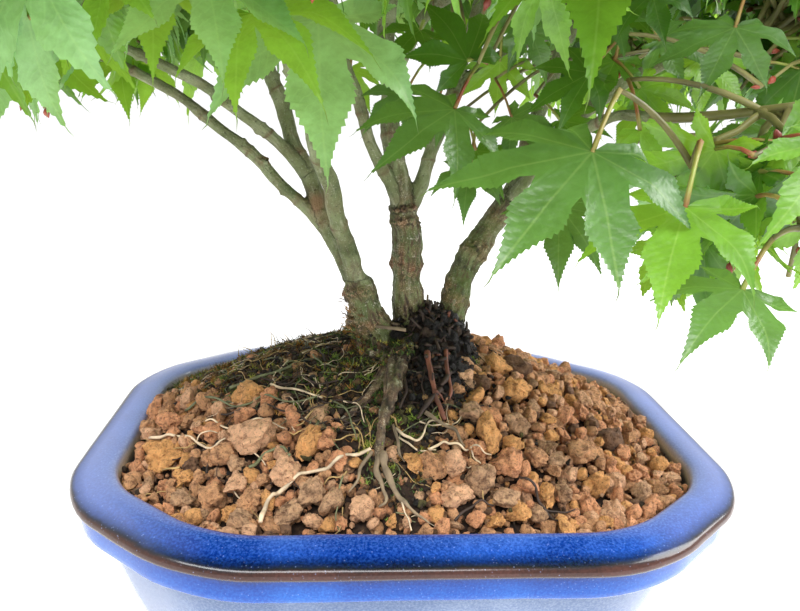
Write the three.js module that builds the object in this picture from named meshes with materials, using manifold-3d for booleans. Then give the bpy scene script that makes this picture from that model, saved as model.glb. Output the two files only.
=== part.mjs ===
// Japanese maple bonsai: a clump of three stems from one root flare, in a glazed eight-sided pot.
// Millimetres, +Z up. The origin is on the surface that the pot stands on, under the middle of the pot.
// Heights written as h are measured from the plane of the pot's rim, and at() turns them into z.
import * as THREE from "three";
import { mergeVertices } from "three/addons/utils/BufferGeometryUtils.js";
import Module from "manifold-3d";

const wasm = await Module();
wasm.setup();

// Pot: a long rectangle with cut, softened corners
const potHeight = 70;
const mouthHalfX = 89;
const mouthHalfY = 61.5;
const mouthCutX = 33;
const mouthCutY = 25;
const cornerSoftness = 9;
const rimWidth = 13.2;
const rimDrop = 1.6;
const beadHeight = 4;
const fasciaHeight = 8;
const fasciaSetback = 2.2;
const neckHeight = 3;
const neckOffset = 6;
const footHeight = 7;
const footLength = 34;
const footWidth = 11;
const baseOffset = -9;
const wall = 7.5;
const floorThickness = 6;
const drainRadius = 5.5;
const drainSpacing = 78;

// Soil: a mound of coarse grains that rises to the stems
const soilEdge = -4;
const moundRise = 31;
const moundHalfX = 92;
const moundHalfY = 66;
const moundX = -3;
const moundY = 5;
const moundPower = 1.15;
const grainPitch = 8;
const grainRelief = 1.9;
const grainShift = 0.3;

// Root flare and surface roots
const seatHeight = 21.5;
const flareTop = 33;
const flareX = 1;
const flareY = 4.5;
const flareHalfX = 23;
const flareHalfY = 14.5;
const flareSegments = 18;
const rootSteps = 5;
const rootSides = 5;
const rootTaper = 0.68;
const rootLift = 0.35;

// Crown
const crownHalfX = 158;
const crownHalfY = 136;
const leafLength = 32;
const leafThickness = 1;
const stalkLength = 9;
const stalkHalfWidth = 1.4;
const twigCount = 8;
const twigReach = 0.52;
const twigReachSpread = 0.14;
const firstTwig = 0.3;
const twigShares = [1, 0.78, 0.56];
const pairShares = [0.8, 0.5];
const leafSizes = [0.85, 1.15];
const leafTilt = 0.9;
const leafDroop = 0.8;
const leafOutward = 0.4;
const leafSink = 0.8;
const pairAhead = 0.45;
const pairDroop = 0.6;
const leafTurns = [0, 30, -30, 60, -60];
const leafLifts = [0, 0.5, 1];
const spaceReach = 1.2;
const envelopeMargin = 3;
const stemBend = 0.4;
const stemOvershoot = 0.12;
const stemSteps = 3;
const stemSides = 4;
const stemTipRadius = 1.5;
const twigRadius = 1;
const twigTipRadius = 0.75;
const twigSides = 3;
const limbSides = 6;
const nodeSpacing = 13;
const nodeSwell = 1.1;
const nodeSway = [0.5, 0.3, 0];

const gap = 0.3; // between neighbouring pieces
const goldenAngle = Math.PI * (3 - Math.sqrt(5));
const up = new THREE.Vector3(0, 0, 1);

const at = (x, y, h) => new THREE.Vector3(x, y, potHeight + h);

// A repeatable run of numbers from 0 to 1
function seeded(seed) {
  let state = seed;
  return () => {
    state = (state * 16807) % 2147483647;
    return state / 2147483647;
  };
}

// A repeatable number from -1 to 1 for a place on the ground
function scatter(x, y, salt) {
  const wave = Math.sin(x * 12.9898 + y * 78.233 + salt * 37.719) * 43758.5453;
  return 2 * (wave - Math.floor(wave)) - 1;
}

// Closed solid from a three.js geometry
function solidOf(geometry) {
  const bare = geometry.clone();
  bare.deleteAttribute("normal");
  bare.deleteAttribute("uv");
  const merged = mergeVertices(bare, 1e-4);
  const mesh = new wasm.Mesh({
    numProp: 3,
    vertProperties: merged.attributes.position.array,
    triVerts: new Uint32Array(merged.index.array),
  });
  return new wasm.Manifold(mesh);
}

// three.js geometry from a closed solid
function geometryOf(solid) {
  const mesh = solid.getMesh();
  const geometry = new THREE.BufferGeometry();
  geometry.setAttribute("position", new THREE.BufferAttribute(mesh.vertProperties, 3));
  geometry.setIndex(new THREE.BufferAttribute(mesh.triVerts, 1));
  geometry.computeVertexNormals();
  return geometry;
}

function joined(solids) {
  return solids.reduce((whole, piece) => whole.add(piece));
}

// Skin over a row of rings that run anticlockwise round the direction of travel, capped at both ends
function loft(rings) {
  const count = rings[0].length;
  const points = rings.flat();
  const faces = [];
  for (let row = 0; row + 1 < rings.length; row += 1) {
    for (let i = 0; i < count; i += 1) {
      const a = row * count + i;
      const b = row * count + ((i + 1) % count);
      faces.push(a, b, a + count, b, b + count, a + count);
    }
  }
  const last = (rings.length - 1) * count;
  const middle = (ring) => {
    const sum = ring.reduce((total, point) => total.add(point), new THREE.Vector3());
    return sum.divideScalar(count);
  };
  points.push(middle(rings[0]), middle(rings.at(-1)));
  for (let i = 0; i < count; i += 1) {
    const next = (i + 1) % count;
    faces.push(points.length - 2, next, i);
    faces.push(points.length - 1, last + i, last + next);
  }
  const geometry = new THREE.BufferGeometry().setFromPoints(points);
  geometry.setIndex(faces);
  return geometry;
}

// Tube of changing radius through a row of points
function tube(path, radii, sides) {
  const rings = [];
  let side = new THREE.Vector3(1, 0, 0);
  path.forEach((point, i) => {
    const before = path[Math.max(i - 1, 0)];
    const after = path[Math.min(i + 1, path.length - 1)];
    const along = after.clone().sub(before).normalize();
    side = side.clone().addScaledVector(along, -side.dot(along)).normalize();
    const other = along.clone().cross(side);
    const ring = [];
    for (let k = 0; k < sides; k += 1) {
      const turn = (2 * Math.PI * k) / sides;
      const out = side.clone().multiplyScalar(Math.cos(turn)).addScaledVector(other, Math.sin(turn));
      ring.push(point.clone().addScaledVector(out, radii[i]));
    }
    rings.push(ring);
  });
  return loft(rings);
}

// Pot outline at an offset from the mouth's edge, with softened corners
function potRing(offset, z) {
  const halfX = mouthHalfX + offset;
  const halfY = mouthHalfY + offset;
  const slant = Math.hypot(mouthCutX, mouthCutY);
  const level = mouthCutY * mouthHalfX + mouthCutX * (mouthHalfY - mouthCutY) + offset * slant;
  const flatX = (level - mouthCutX * halfY) / mouthCutY;
  const flatY = (level - mouthCutY * halfX) / mouthCutX;
  const quarter = [new THREE.Vector3(halfX, flatY, z), new THREE.Vector3(flatX, halfY, z)];
  const corners = [];
  for (const [signX, signY] of [[1, 1], [-1, 1], [-1, -1], [1, -1]]) {
    const pair = quarter.map((point) => new THREE.Vector3(point.x * signX, point.y * signY, z));
    corners.push(...(signX === signY ? pair : pair.reverse()));
  }
  const ring = [];
  corners.forEach((corner, i) => {
    const before = corners[(i + 7) % 8];
    const after = corners[(i + 1) % 8];
    const enter = corner.clone().add(before.clone().sub(corner).setLength(cornerSoftness));
    const leave = corner.clone().add(after.clone().sub(corner).setLength(cornerSoftness));
    const bend = enter.clone().add(leave).multiplyScalar(0.25).addScaledVector(corner, 0.5);
    ring.push(enter, bend, leave);
  });
  return ring;
}

const rimOuterZ = potHeight - rimDrop;
const beadBottomZ = rimOuterZ - beadHeight;
const fasciaBottomZ = beadBottomZ - fasciaHeight;
const neckBottomZ = fasciaBottomZ - neckHeight;
const floorZ = footHeight + floorThickness;
const innerFloorOffset = baseOffset - wall;

// Inside face of the pot from the floor up to the mouth's edge
const innerWall = [
  [innerFloorOffset - 3, floorZ],
  [innerFloorOffset, floorZ + 3],
  [-1.6, neckBottomZ],
  [-0.6, rimOuterZ - 3],
  [0, rimOuterZ],
];

function makePot() {
  const outside = [
    [baseOffset - 1, footHeight],
    [baseOffset + 0.6, footHeight + 1.6],
    [-0.6, (footHeight + neckBottomZ) / 2],
    [neckOffset - 0.8, neckBottomZ],
    [neckOffset, neckBottomZ + 1],
    [neckOffset, fasciaBottomZ - 0.6],
    [rimWidth - fasciaSetback, fasciaBottomZ],
    [rimWidth - fasciaSetback + 0.5, beadBottomZ],
    [rimWidth, beadBottomZ + 1.8],
    [rimWidth - 1.2, rimOuterZ],
    [rimWidth * 0.4, potHeight],
    [1, potHeight - 0.5],
  ];
  const inside = innerWall.slice().reverse();
  const rings = [...outside, ...inside].map(([offset, z]) => potRing(offset, z));
  const shell = solidOf(loft(rings));
  return shell.add(makeFeet()).subtract(makeDrains());
}

// A low kerb under the base, open along the middle of each side, so that four corner feet stay
function makeFeet() {
  const outer = [potRing(baseOffset - 2.2, 0), potRing(baseOffset - 1, footHeight + 1)];
  const inner = [
    potRing(baseOffset - footWidth, -1),
    potRing(baseOffset - footWidth - 1, footHeight + 2),
  ];
  const kerb = solidOf(loft(outer)).subtract(solidOf(loft(inner)));
  const archRise = footHeight - 0.1;
  const slope = 5;
  const arch = (half, reach) => {
    const shape = new THREE.Shape();
    shape.moveTo(-half - slope, -1);
    shape.lineTo(half + slope, -1);
    shape.lineTo(half + slope, 0);
    shape.quadraticCurveTo(half + 1, 1, half, archRise);
    shape.lineTo(-half, archRise);
    shape.quadraticCurveTo(-half - 1, 1, -half - slope, 0);
    const options = { depth: 2 * reach, bevelEnabled: false, curveSegments: 3 };
    return new THREE.ExtrudeGeometry(shape, options).translate(0, 0, -reach).rotateX(Math.PI / 2);
  };
  const baseHalfX = mouthHalfX + baseOffset;
  const baseHalfY = mouthHalfY + baseOffset;
  const alongX = solidOf(arch(baseHalfX - footLength, baseHalfX + 10));
  const alongY = solidOf(arch(baseHalfY - footLength * 0.75, baseHalfX + 10).rotateZ(Math.PI / 2));
  return kerb.subtract(alongX).subtract(alongY);
}

function makeDrains() {
  const holes = [-1, 1].map((side) => {
    const hole = new THREE.CylinderGeometry(drainRadius, drainRadius, floorZ + 4, 16);
    return solidOf(hole.rotateX(Math.PI / 2).translate((side * drainSpacing) / 2, 0, floorZ / 2));
  });
  return joined(holes);
}

// Height of the smooth ground above the rim plane
function ground(x, y) {
  const across = (x - moundX) / moundHalfX;
  const deep = (y - moundY) / moundHalfY;
  const inside = Math.max(0, 1 - across * across - deep * deep);
  return soilEdge + moundRise * Math.pow(inside, moundPower);
}

function makeSoil() {
  const pan = [
    ...innerWall.map(([offset, z], i) => potRing(offset - gap, z + (i ? 0 : gap))),
    potRing(-gap, potHeight + moundRise + 5),
  ];
  const columns = Math.round((2 * mouthHalfX) / grainPitch);
  const rows = Math.round((2 * mouthHalfY) / grainPitch);
  const block = new THREE.BoxGeometry(2 * mouthHalfX + 2, 2 * mouthHalfY + 2, 2, columns, rows, 1);
  const place = block.attributes.position;
  for (let i = 0; i < place.count; i += 1) {
    const x = place.getX(i);
    const y = place.getY(i);
    if (place.getZ(i) > 0) {
      const shiftX = grainShift * grainPitch * scatter(x, y, 1);
      const shiftY = grainShift * grainPitch * scatter(x, y, 2);
      const h = ground(x + shiftX, y + shiftY) + grainRelief * scatter(x, y, 3);
      place.setXYZ(i, x + shiftX, y + shiftY, potHeight + h);
    } else {
      place.setZ(i, 1);
    }
  }
  return solidOf(block).intersect(solidOf(loft(pan))).subtract(makeRootFlare(gap));
}

// Surface roots: direction in degrees from +X, length, radius at the flare and sideways bend
const surfaceRoots = [
  { turn: 255, start: 6, length: 43, radius: 4.6, bend: -1 },
  { turn: 228, start: 12, length: 40, radius: 2.2, bend: 7 },
  { turn: 294, start: 8, length: 30, radius: 2.6, bend: -5 },
  { turn: 186, start: 12, length: 34, radius: 3.8, bend: 4 },
  { turn: 345, start: 12, length: 28, radius: 3.4, bend: -4 },
  { turn: 70, start: 6, length: 30, radius: 3.4, bend: 4 },
];

// The flare is cut flat where it stands on the soil, and its roots lie half in the surface
function makeRootFlare(grow = 0) {
  const rows = [
    [1.02, seatHeight - grow],
    [0.98, seatHeight + 4],
    [0.82, flareTop - 3.5],
    [0.62, flareTop - 0.8],
    [0.3, flareTop + grow],
  ];
  const rings = rows.map(([scale, h]) => {
    const ring = [];
    for (let i = 0; i < flareSegments; i += 1) {
      const turn = (2 * Math.PI * i) / flareSegments;
      const lump = 1 + 0.07 * Math.sin(3 * turn + 0.6) + 0.06 * Math.sin(7 * turn + h * 0.3);
      const x = flareX + Math.cos(turn) * (flareHalfX * scale * lump + grow);
      const y = flareY + Math.sin(turn) * (flareHalfY * scale * lump + grow);
      ring.push(at(x, y, h));
    }
    return ring;
  });
  const roots = surfaceRoots.map((root) => {
    const path = [];
    const radii = [];
    for (let i = 0; i <= rootSteps; i += 1) {
      const along = i / rootSteps;
      const turn = THREE.MathUtils.degToRad(root.turn);
      const reach = root.start + root.length * along;
      const sway = root.bend * Math.sin(Math.PI * along);
      const x = flareX + reach * Math.cos(turn) - sway * Math.sin(turn);
      const y = flareY + reach * Math.sin(turn) + sway * Math.cos(turn);
      const radius = root.radius * (1 - rootTaper * along);
      path.push(at(x, y, ground(x, y) + rootLift * radius));
      radii.push(radius + grow);
    }
    return solidOf(tube(path, radii, rootSides));
  });
  return joined([solidOf(loft(rings)), ...roots]);
}

// Limbs: each runs from a foot, or from a place along its parent, to its tip, bowed in the middle
const limbs = [
  { name: "stem_left", foot: [-11, 1, 27], tip: [-19, 1, 48], bow: [1, 0, 0], radii: [6, 5] },
  { name: "stem_centre", foot: [-1, 6, 26], tip: [-4, 8, 73], bow: [1, 0, 0], radii: [5.5, 4.6] },
  { name: "stem_right", foot: [12, 7, 28], tip: [33, 12, 79], bow: [-3.5, 0, 0], radii: [4.9, 3.9] },
  {
    name: "bough_left_back", parent: "stem_left", along: 0.85,
    tip: [-56, 34, 138], bow: [-3, -5, 0], radii: [3.3, 2],
  },
  {
    name: "bough_left_front", parent: "stem_left", along: 0.95,
    tip: [-42, -44, 132], bow: [0, 6, 1], radii: [2.9, 2],
  },
  {
    name: "bough_left_low", parent: "bough_left_back", along: 0.17,
    tip: [-98, 15, 115], bow: [-1, 0, 8], radii: [2.1, 1.5],
  },
  {
    name: "bough_left_outer", parent: "bough_left_back", along: 0.4,
    tip: [-90, -10, 119], bow: [2, 3, 4], radii: [2, 1.4],
  },
  {
    name: "bough_centre_left", parent: "stem_centre", along: 0.93,
    tip: [-36, -6, 172], bow: [-5, -3, -2], radii: [2.1, 1.5],
  },
  {
    name: "bough_centre_top", parent: "stem_centre", along: 0.96,
    tip: [-4, 6, 204], bow: [-8, 1, 0], radii: [3.3, 1.9],
  },
  {
    name: "bough_centre_back", parent: "stem_centre", along: 0.92,
    tip: [26, 50, 156], bow: [1, -9, 0], radii: [2.5, 1.6],
  },
  {
    name: "bough_front", parent: "bough_centre_top", along: 0.3,
    tip: [6, -40, 132], bow: [0, 0, 8], radii: [1.9, 1.4],
  },
  {
    name: "bough_right_outer", parent: "stem_right", along: 0.96,
    tip: [88, -4, 127], bow: [-4, 0, 8], radii: [2.5, 1.7],
  },
  {
    name: "bough_right_top", parent: "stem_right", along: 0.97,
    tip: [66, 22, 182], bow: [-1, 4, -2], radii: [2.7, 1.7],
  },
  {
    name: "bough_right_front", parent: "stem_right", along: 0.9,
    tip: [56, -36, 106], bow: [2, 2, 10], radii: [2, 1.4],
  },
  {
    name: "bough_right_back", parent: "bough_centre_back", along: 0.45,
    tip: [66, 50, 132], bow: [0, 0, 6], radii: [1.8, 1.3],
  },
];

// Foliage masses: each is grown from its bough's tip through a rounded space of its own
const masses = [
  { name: "left_low", bough: "bough_left_low", centre: [-120, 30, 130], half: [44, 44, 38], seed: 11 },
  { name: "left_outer", bough: "bough_left_outer", centre: [-112, -42, 146], half: [50, 50, 44], seed: 23 },
  { name: "left_back", bough: "bough_left_back", centre: [-76, 82, 160], half: [52, 54, 48], seed: 37 },
  { name: "left_front", bough: "bough_left_front", centre: [-52, -86, 142], half: [50, 50, 48], seed: 41 },
  { name: "top_left", bough: "bough_centre_left", centre: [-58, -8, 200], half: [56, 58, 50], seed: 59 },
  { name: "top", bough: "bough_centre_top", centre: [2, 4, 240], half: [62, 62, 52], seed: 67 },
  { name: "back", bough: "bough_centre_back", centre: [10, 90, 178], half: [52, 50, 50], seed: 73 },
  { name: "front", bough: "bough_front", centre: [10, -76, 142], half: [48, 54, 56], seed: 89 },
  { name: "right", bough: "bough_right_outer", centre: [118, -10, 138], half: [46, 54, 46], seed: 97 },
  { name: "top_right", bough: "bough_right_top", centre: [62, 4, 204], half: [56, 58, 50], seed: 101 },
  { name: "right_front", bough: "bough_right_front", centre: [70, -66, 110], half: [50, 54, 56], seed: 113 },
  { name: "right_back", bough: "bough_right_back", centre: [88, 74, 150], half: [52, 54, 50], seed: 127 },
];

// Bowed route of a limb, with a small zigzag from node to node
function limbRoute(foot, tip, bow) {
  const control = foot.clone().add(tip).multiplyScalar(0.5).addScaledVector(bow, 2);
  const curve = new THREE.QuadraticBezierCurve3(foot, control, tip);
  const nodes = Math.max(4, Math.round(curve.getLength() / nodeSpacing));
  return curve.getSpacedPoints(nodes).map((point, i, all) => {
    const inner = i > 0 && i < all.length - 1;
    const hand = inner ? (i % 2 ? 1 : -1) : 0;
    return point.clone().addScaledVector(new THREE.Vector3(...nodeSway), hand);
  });
}

// Radius along a limb: an even taper, with a ring at every other node
function limbRadii(path, [footRadius, tipRadius], grow) {
  return path.map((point, i) => {
    const along = i / (path.length - 1);
    const node = i % 2 && i < path.length - 1 ? nodeSwell : 1;
    return (footRadius + (tipRadius - footRadius) * along) * node + grow;
  });
}

const routes = {};
for (const limb of limbs) {
  let foot = limb.parent ? null : at(...limb.foot);
  if (limb.parent) {
    const parentRoute = routes[limb.parent];
    const place = limb.along * (parentRoute.length - 1);
    const before = Math.floor(place);
    const after = Math.min(before + 1, parentRoute.length - 1);
    foot = parentRoute[before].clone().lerp(parentRoute[after], place - before);
  }
  routes[limb.name] = limbRoute(foot, at(...limb.tip), new THREE.Vector3(...limb.bow));
}

// A limb, or with grow the space that its neighbours keep out of
function limbTube(limb, grow) {
  const route = routes[limb.name].map((point) => point.clone());
  route.at(-1).add(route.at(-1).clone().sub(route.at(-2)).setLength(grow));
  return solidOf(tube(route, limbRadii(route, limb.radii, grow), limbSides));
}

// Each limb is cut clear of the flare and of the limbs before it
const rootFlare = makeRootFlare();
const limbSolids = {};
let limbSpace = makeRootFlare(gap);
for (const limb of limbs) {
  limbSolids[limb.name] = limbTube(limb, 0).subtract(limbSpace);
  limbSpace = limbSpace.add(limbTube(limb, gap));
}

// Lowest height that foliage hangs to, above the rim: high over the left limbs, with a deep dip at the
// right front and a small one at the front
const floorHeight = 98;
const floorDips = [
  { depth: 42, x: 62, y: -60, halfX: 44, halfY: 46 },
  { depth: 20, x: -4, y: -70, halfX: 40, halfY: 40 },
];

function crownFloor(x, y) {
  return floorDips.reduce((floor, dip) => {
    const away = ((x - dip.x) / dip.halfX) ** 2 + ((y - dip.y) / dip.halfY) ** 2;
    return floor - dip.depth * Math.exp(-away);
  }, floorHeight);
}

// Mid-lobe, side lobes and basal lobes of a leaf, as turn in degrees and length against the mid-lobe
const lobes = [
  [-104, 0.52],
  [-50, 0.86],
  [0, 1],
  [50, 0.86],
  [104, 0.52],
];
const notchDepth = 0.3;
const lobeDroop = 0.24;

// Leaf outline in its own plane, from the foot of the stalk round the five lobes
function leafOutline(length) {
  const points = [[0, -stalkLength], [-stalkHalfWidth, -stalkHalfWidth]];
  lobes.forEach(([turn, reach], i) => {
    const tip = THREE.MathUtils.degToRad(turn);
    points.push([Math.sin(tip) * reach * length, Math.cos(tip) * reach * length]);
    if (i + 1 < lobes.length) {
      const notch = THREE.MathUtils.degToRad((turn + lobes[i + 1][0]) / 2);
      points.push([Math.sin(notch) * notchDepth * length, Math.cos(notch) * notchDepth * length]);
    }
  });
  points.push([stalkHalfWidth, -stalkHalfWidth]);
  return points;
}

// A leaf as a thin lens over its outline: rootPoint on the twig, axis along its stalk and mid-lobe
function makeLeaf(rootPoint, axis, normal, length) {
  const side = axis.clone().cross(normal).normalize();
  const face = side.clone().cross(axis).normalize();
  const centre = rootPoint.clone().addScaledVector(axis, stalkLength);
  const outline = leafOutline(length).map(([across, ahead]) => {
    const far = Math.hypot(across, Math.max(ahead, 0)) / length;
    const point = centre.clone().addScaledVector(side, across).addScaledVector(axis, ahead);
    return point.addScaledVector(face, -lobeDroop * length * far * far);
  });
  const points = [...outline];
  points.push(centre.clone().addScaledVector(face, leafThickness / 2));
  points.push(centre.clone().addScaledVector(face, -leafThickness / 2));
  const faces = [];
  outline.forEach((point, i) => {
    const next = (i + 1) % outline.length;
    faces.push(outline.length, next, i, outline.length + 1, i, next);
  });
  const geometry = new THREE.BufferGeometry().setFromPoints(points);
  geometry.setIndex(faces);
  return { solid: solidOf(geometry), outline };
}

const massCentre = (mass) => at(...mass.centre);
const massSize = (mass) => (mass.half[0] + mass.half[1] + mass.half[2]) / 3;

// Whether a point is in the mass's own space: inside its rounded outline, on its side of every neighbour
function inSpace(mass, point, margin = gap) {
  const centre = massCentre(mass);
  const away = point.clone().sub(centre);
  const [halfX, halfY, halfZ] = mass.half;
  if ((away.x / halfX) ** 2 + (away.y / halfY) ** 2 + (away.z / halfZ) ** 2 > spaceReach ** 2) {
    return false;
  }
  if (Math.abs(point.x) > crownHalfX + envelopeMargin || Math.abs(point.y) > crownHalfY + envelopeMargin) {
    return false;
  }
  if (point.z < potHeight + crownFloor(point.x, point.y)) {
    return false;
  }
  return masses.every((other) => {
    if (other === mass) {
      return true;
    }
    const between = massCentre(other).sub(centre);
    const distance = between.length();
    const share = 0.5 + (massSize(mass) ** 2 - massSize(other) ** 2) / (2 * distance ** 2);
    return away.dot(between) / distance < share * distance - margin;
  });
}

const untouched = (piece, space) => piece.intersect(space).isEmpty();

// Stem of a mass: it runs on from its bough's tip to just past the mass's centre
function makeStem(mass) {
  const bough = limbs.find((limb) => limb.name === mass.bough);
  const route = routes[bough.name];
  const foot = route.at(-1);
  const heading = foot.clone().sub(route.at(-2)).normalize();
  const centre = massCentre(mass);
  const bend = foot.clone().addScaledVector(heading, foot.distanceTo(centre) * stemBend);
  const end = centre.clone().add(centre.clone().sub(foot).multiplyScalar(stemOvershoot));
  const curve = new THREE.QuadraticBezierCurve3(foot, bend, end);
  const path = curve.getSpacedPoints(stemSteps);
  const tipRadius = bough.radii[1];
  const solid = (grow) => {
    const radii = path.map((point, i) => tipRadius + (stemTipRadius - tipRadius) * (i / stemSteps) + grow);
    return solidOf(tube(path, radii, stemSides)).subtract(limbTube(bough, gap));
  };
  return { curve, solid: solid(0), space: solid(gap) };
}

const stems = Object.fromEntries(masses.map((mass) => [mass.name, makeStem(mass)]));

// Twigs spread evenly round the stem. Each is as long as its space allows, and carries a leaf at its end
// and pairs of leaves before it.
function growMass(mass) {
  const random = seeded(mass.seed);
  const centre = massCentre(mass);
  const stem = stems[mass.name];
  const elsewhere = [limbSpace];
  for (const other of masses) {
    if (other !== mass) {
      elsewhere.push(stems[other.name].space);
    }
  }
  const pieces = [stem.solid];
  const blades = [];

  const leafFits = (leaf) =>
    leaf.outline.slice(1).every((point) => inSpace(mass, point)) &&
    [stem.solid, ...elsewhere, ...blades].every((other) => untouched(leaf.solid, other));

  // A leaf turns and lifts from its first direction until it has room, or is left out
  const tryLeaf = (rootPoint, axis, outward, length) => {
    const normal = up.clone().addScaledVector(outward, leafTilt).normalize();
    for (const lift of leafLifts) {
      for (const turn of leafTurns) {
        const turned = axis.clone().applyAxisAngle(up, THREE.MathUtils.degToRad(turn));
        const leaf = makeLeaf(rootPoint, turned.addScaledVector(up, lift).normalize(), normal, length);
        if (leafFits(leaf)) {
          pieces.push(leaf.solid);
          blades.push(leaf.solid);
          return true;
        }
      }
    }
    return false;
  };

  for (let k = 0; k < twigCount; k += 1) {
    const turn = k * goldenAngle + mass.seed;
    const rise = 1 - (2 * (k + 0.5)) / twigCount;
    const ring = Math.sqrt(1 - rise * rise);
    const outward = new THREE.Vector3(ring * Math.cos(turn), ring * Math.sin(turn), rise);
    const spread = outward.clone().multiply(new THREE.Vector3(...mass.half));
    const foot = stem.curve.getPoint(firstTwig + ((1 - firstTwig) * (k + 0.5)) / twigCount);
    const fullReach = twigReach + twigReachSpread * random();
    const sizes = [random(), random(), random()].map((value) => {
      return leafLength * THREE.MathUtils.lerp(...leafSizes, value);
    });
    for (const share of twigShares) {
      const tip = centre.clone().addScaledVector(spread, fullReach * share);
      const along = tip.clone().sub(foot).normalize();
      const twig = solidOf(tube([foot, tip], [twigRadius, twigTipRadius], twigSides));
      const inside = [foot, tip].every((point) => inSpace(mass, point, twigRadius + gap));
      if (!inside || !elsewhere.every((other) => untouched(twig, other))) {
        continue;
      }
      const endAxis = along.clone().addScaledVector(outward, leafOutward).addScaledVector(up, -leafDroop);
      if (!tryLeaf(tip.clone().addScaledVector(along, -leafSink), endAxis.normalize(), outward, sizes[0])) {
        continue;
      }
      pieces.push(twig);
      const sideways = along.clone().cross(up).normalize();
      for (const hand of [-1, 1]) {
        const pairAxis = along.clone().multiplyScalar(pairAhead).addScaledVector(sideways, hand);
        pairAxis.addScaledVector(up, -pairDroop).normalize();
        const size = sizes[hand > 0 ? 1 : 2];
        pairShares.some((place) => tryLeaf(foot.clone().lerp(tip, place), pairAxis, outward, size));
      }
      break;
    }
  }
  return joined(pieces);
}

// The crown's reach to the sides, as a tall block that every mass is trimmed to
const envelopeHeight = 800;
const envelope = solidOf(
  new THREE.BoxGeometry(2 * crownHalfX, 2 * crownHalfY, envelopeHeight).translate(0, 0, envelopeHeight / 2),
);

const glaze = new THREE.MeshStandardMaterial({ color: 0x2b4aa0, roughness: 0.18, metalness: 0 });
const grains = new THREE.MeshStandardMaterial({ color: 0x8f5b36, roughness: 0.95, metalness: 0 });
const oldBark = new THREE.MeshStandardMaterial({ color: 0x5d5640, roughness: 0.85, metalness: 0 });
const youngBark = new THREE.MeshStandardMaterial({ color: 0x74805a, roughness: 0.75, metalness: 0 });
const foliage = new THREE.MeshStandardMaterial({ color: 0x69ab3c, roughness: 0.5, metalness: 0 });

const bonsai = new THREE.Group();

function addPiece(name, solid, material) {
  const mesh = new THREE.Mesh(geometryOf(solid), material);
  mesh.name = name;
  bonsai.add(mesh);
}

addPiece("pot", makePot(), glaze);
addPiece("soil", makeSoil(), grains);
addPiece("root_flare", rootFlare, oldBark);
for (const limb of limbs) {
  addPiece(limb.name, limbSolids[limb.name], limb.parent ? youngBark : oldBark);
}
for (const mass of masses) {
  addPiece(`foliage_${mass.name}`, growMass(mass).intersect(envelope), foliage);
}

export default bonsai;
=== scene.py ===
# Japanese maple bonsai in a blue glazed pot: the finish of the tree, the soil and the pot
import functools
import itertools
import math

import bpy
import numpy as np
from mathutils import Matrix, Vector
from mathutils.kdtree import KDTree


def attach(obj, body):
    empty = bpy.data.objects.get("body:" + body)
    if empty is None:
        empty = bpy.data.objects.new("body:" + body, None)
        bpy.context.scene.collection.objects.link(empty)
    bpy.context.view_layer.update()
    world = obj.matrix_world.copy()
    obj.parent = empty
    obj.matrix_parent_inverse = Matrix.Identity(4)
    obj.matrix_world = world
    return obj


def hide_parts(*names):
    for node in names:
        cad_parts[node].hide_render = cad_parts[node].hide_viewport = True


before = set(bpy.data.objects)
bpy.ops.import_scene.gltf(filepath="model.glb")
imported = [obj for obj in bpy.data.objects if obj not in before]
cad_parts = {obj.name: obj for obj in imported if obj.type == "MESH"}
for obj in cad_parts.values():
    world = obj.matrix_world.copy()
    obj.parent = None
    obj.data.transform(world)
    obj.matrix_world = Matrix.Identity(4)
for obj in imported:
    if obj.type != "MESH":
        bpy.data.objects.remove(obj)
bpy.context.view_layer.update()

mm = 0.001
potHeight = 70  # rim plane above the table; heights called h start from there
up = np.array([0.0, 0.0, 1.0])


# General helpers


def colour(code):
    # sRGB hex to the linear values that sockets take; linear values pass through
    if not isinstance(code, str):
        return [*code, 1]
    shares = [int(code[i:i + 2], 16) / 255 for i in (1, 3, 5)]
    return [v / 12.92 if v <= 0.04045 else ((v + 0.055) / 1.055) ** 2.4 for v in shares] + [1]


def baseOf(code):
    return np.array(colour(code)[:3])


def addNode(tree, kind, inputs=(), stops=(), out=0, **settings):
    # adds a node with its settings and links, and gives the output that is asked for
    node = tree.nodes.new("ShaderNode" + kind)
    for key, value in settings.items():
        setattr(node, key, value)
    for socket, value in dict(inputs).items():
        if isinstance(value, bpy.types.NodeSocket):
            tree.links.new(value, node.inputs[socket])
        else:
            node.inputs[socket].default_value = value
    if stops:
        ramp = node.color_ramp
        ramp.elements[0].position, ramp.elements[-1].position = stops[0][0], stops[-1][0]
        ramp.elements[0].color, ramp.elements[-1].color = colour(stops[0][1]), colour(stops[-1][1])
        for spot, code in stops[1:-1]:
            ramp.elements.new(spot).color = colour(code)
    return node.outputs[out] if node.outputs else None


def startMaterial(name):
    # an empty material, what adds nodes to it, and its Object coordinates
    material = bpy.data.materials.new(name)
    material.use_nodes = True
    material.node_tree.nodes.clear()
    add = functools.partial(addNode, material.node_tree)
    return material, add, add("TexCoord", out="Object")


def finishMaterial(material, add, inputs):
    add("OutputMaterial", {"Surface": add("BsdfPrincipled", inputs)})
    return material


def overlay(add, tone, layers):
    # lays colours over a tone, each through its masks: a socket, or a socket with the two values
    # between which the colour sets in and its full strength
    for over, *masks in layers:
        share = None
        for mask in masks:
            if isinstance(mask, tuple):
                socket, low, high, *strength = mask
                mask = add("MapRange", {
                    "Value": socket, "From Min": low, "From Max": high, "To Max": (strength or [1])[0],
                })
            share = mask if share is None else add("Math", {0: share, 1: mask}, operation="MULTIPLY")
        over = over if isinstance(over, bpy.types.NodeSocket) else colour(over)
        tone = add("Mix", {0: share, 6: tone, 7: over}, out=2, data_type="RGBA")
    return tone


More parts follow.
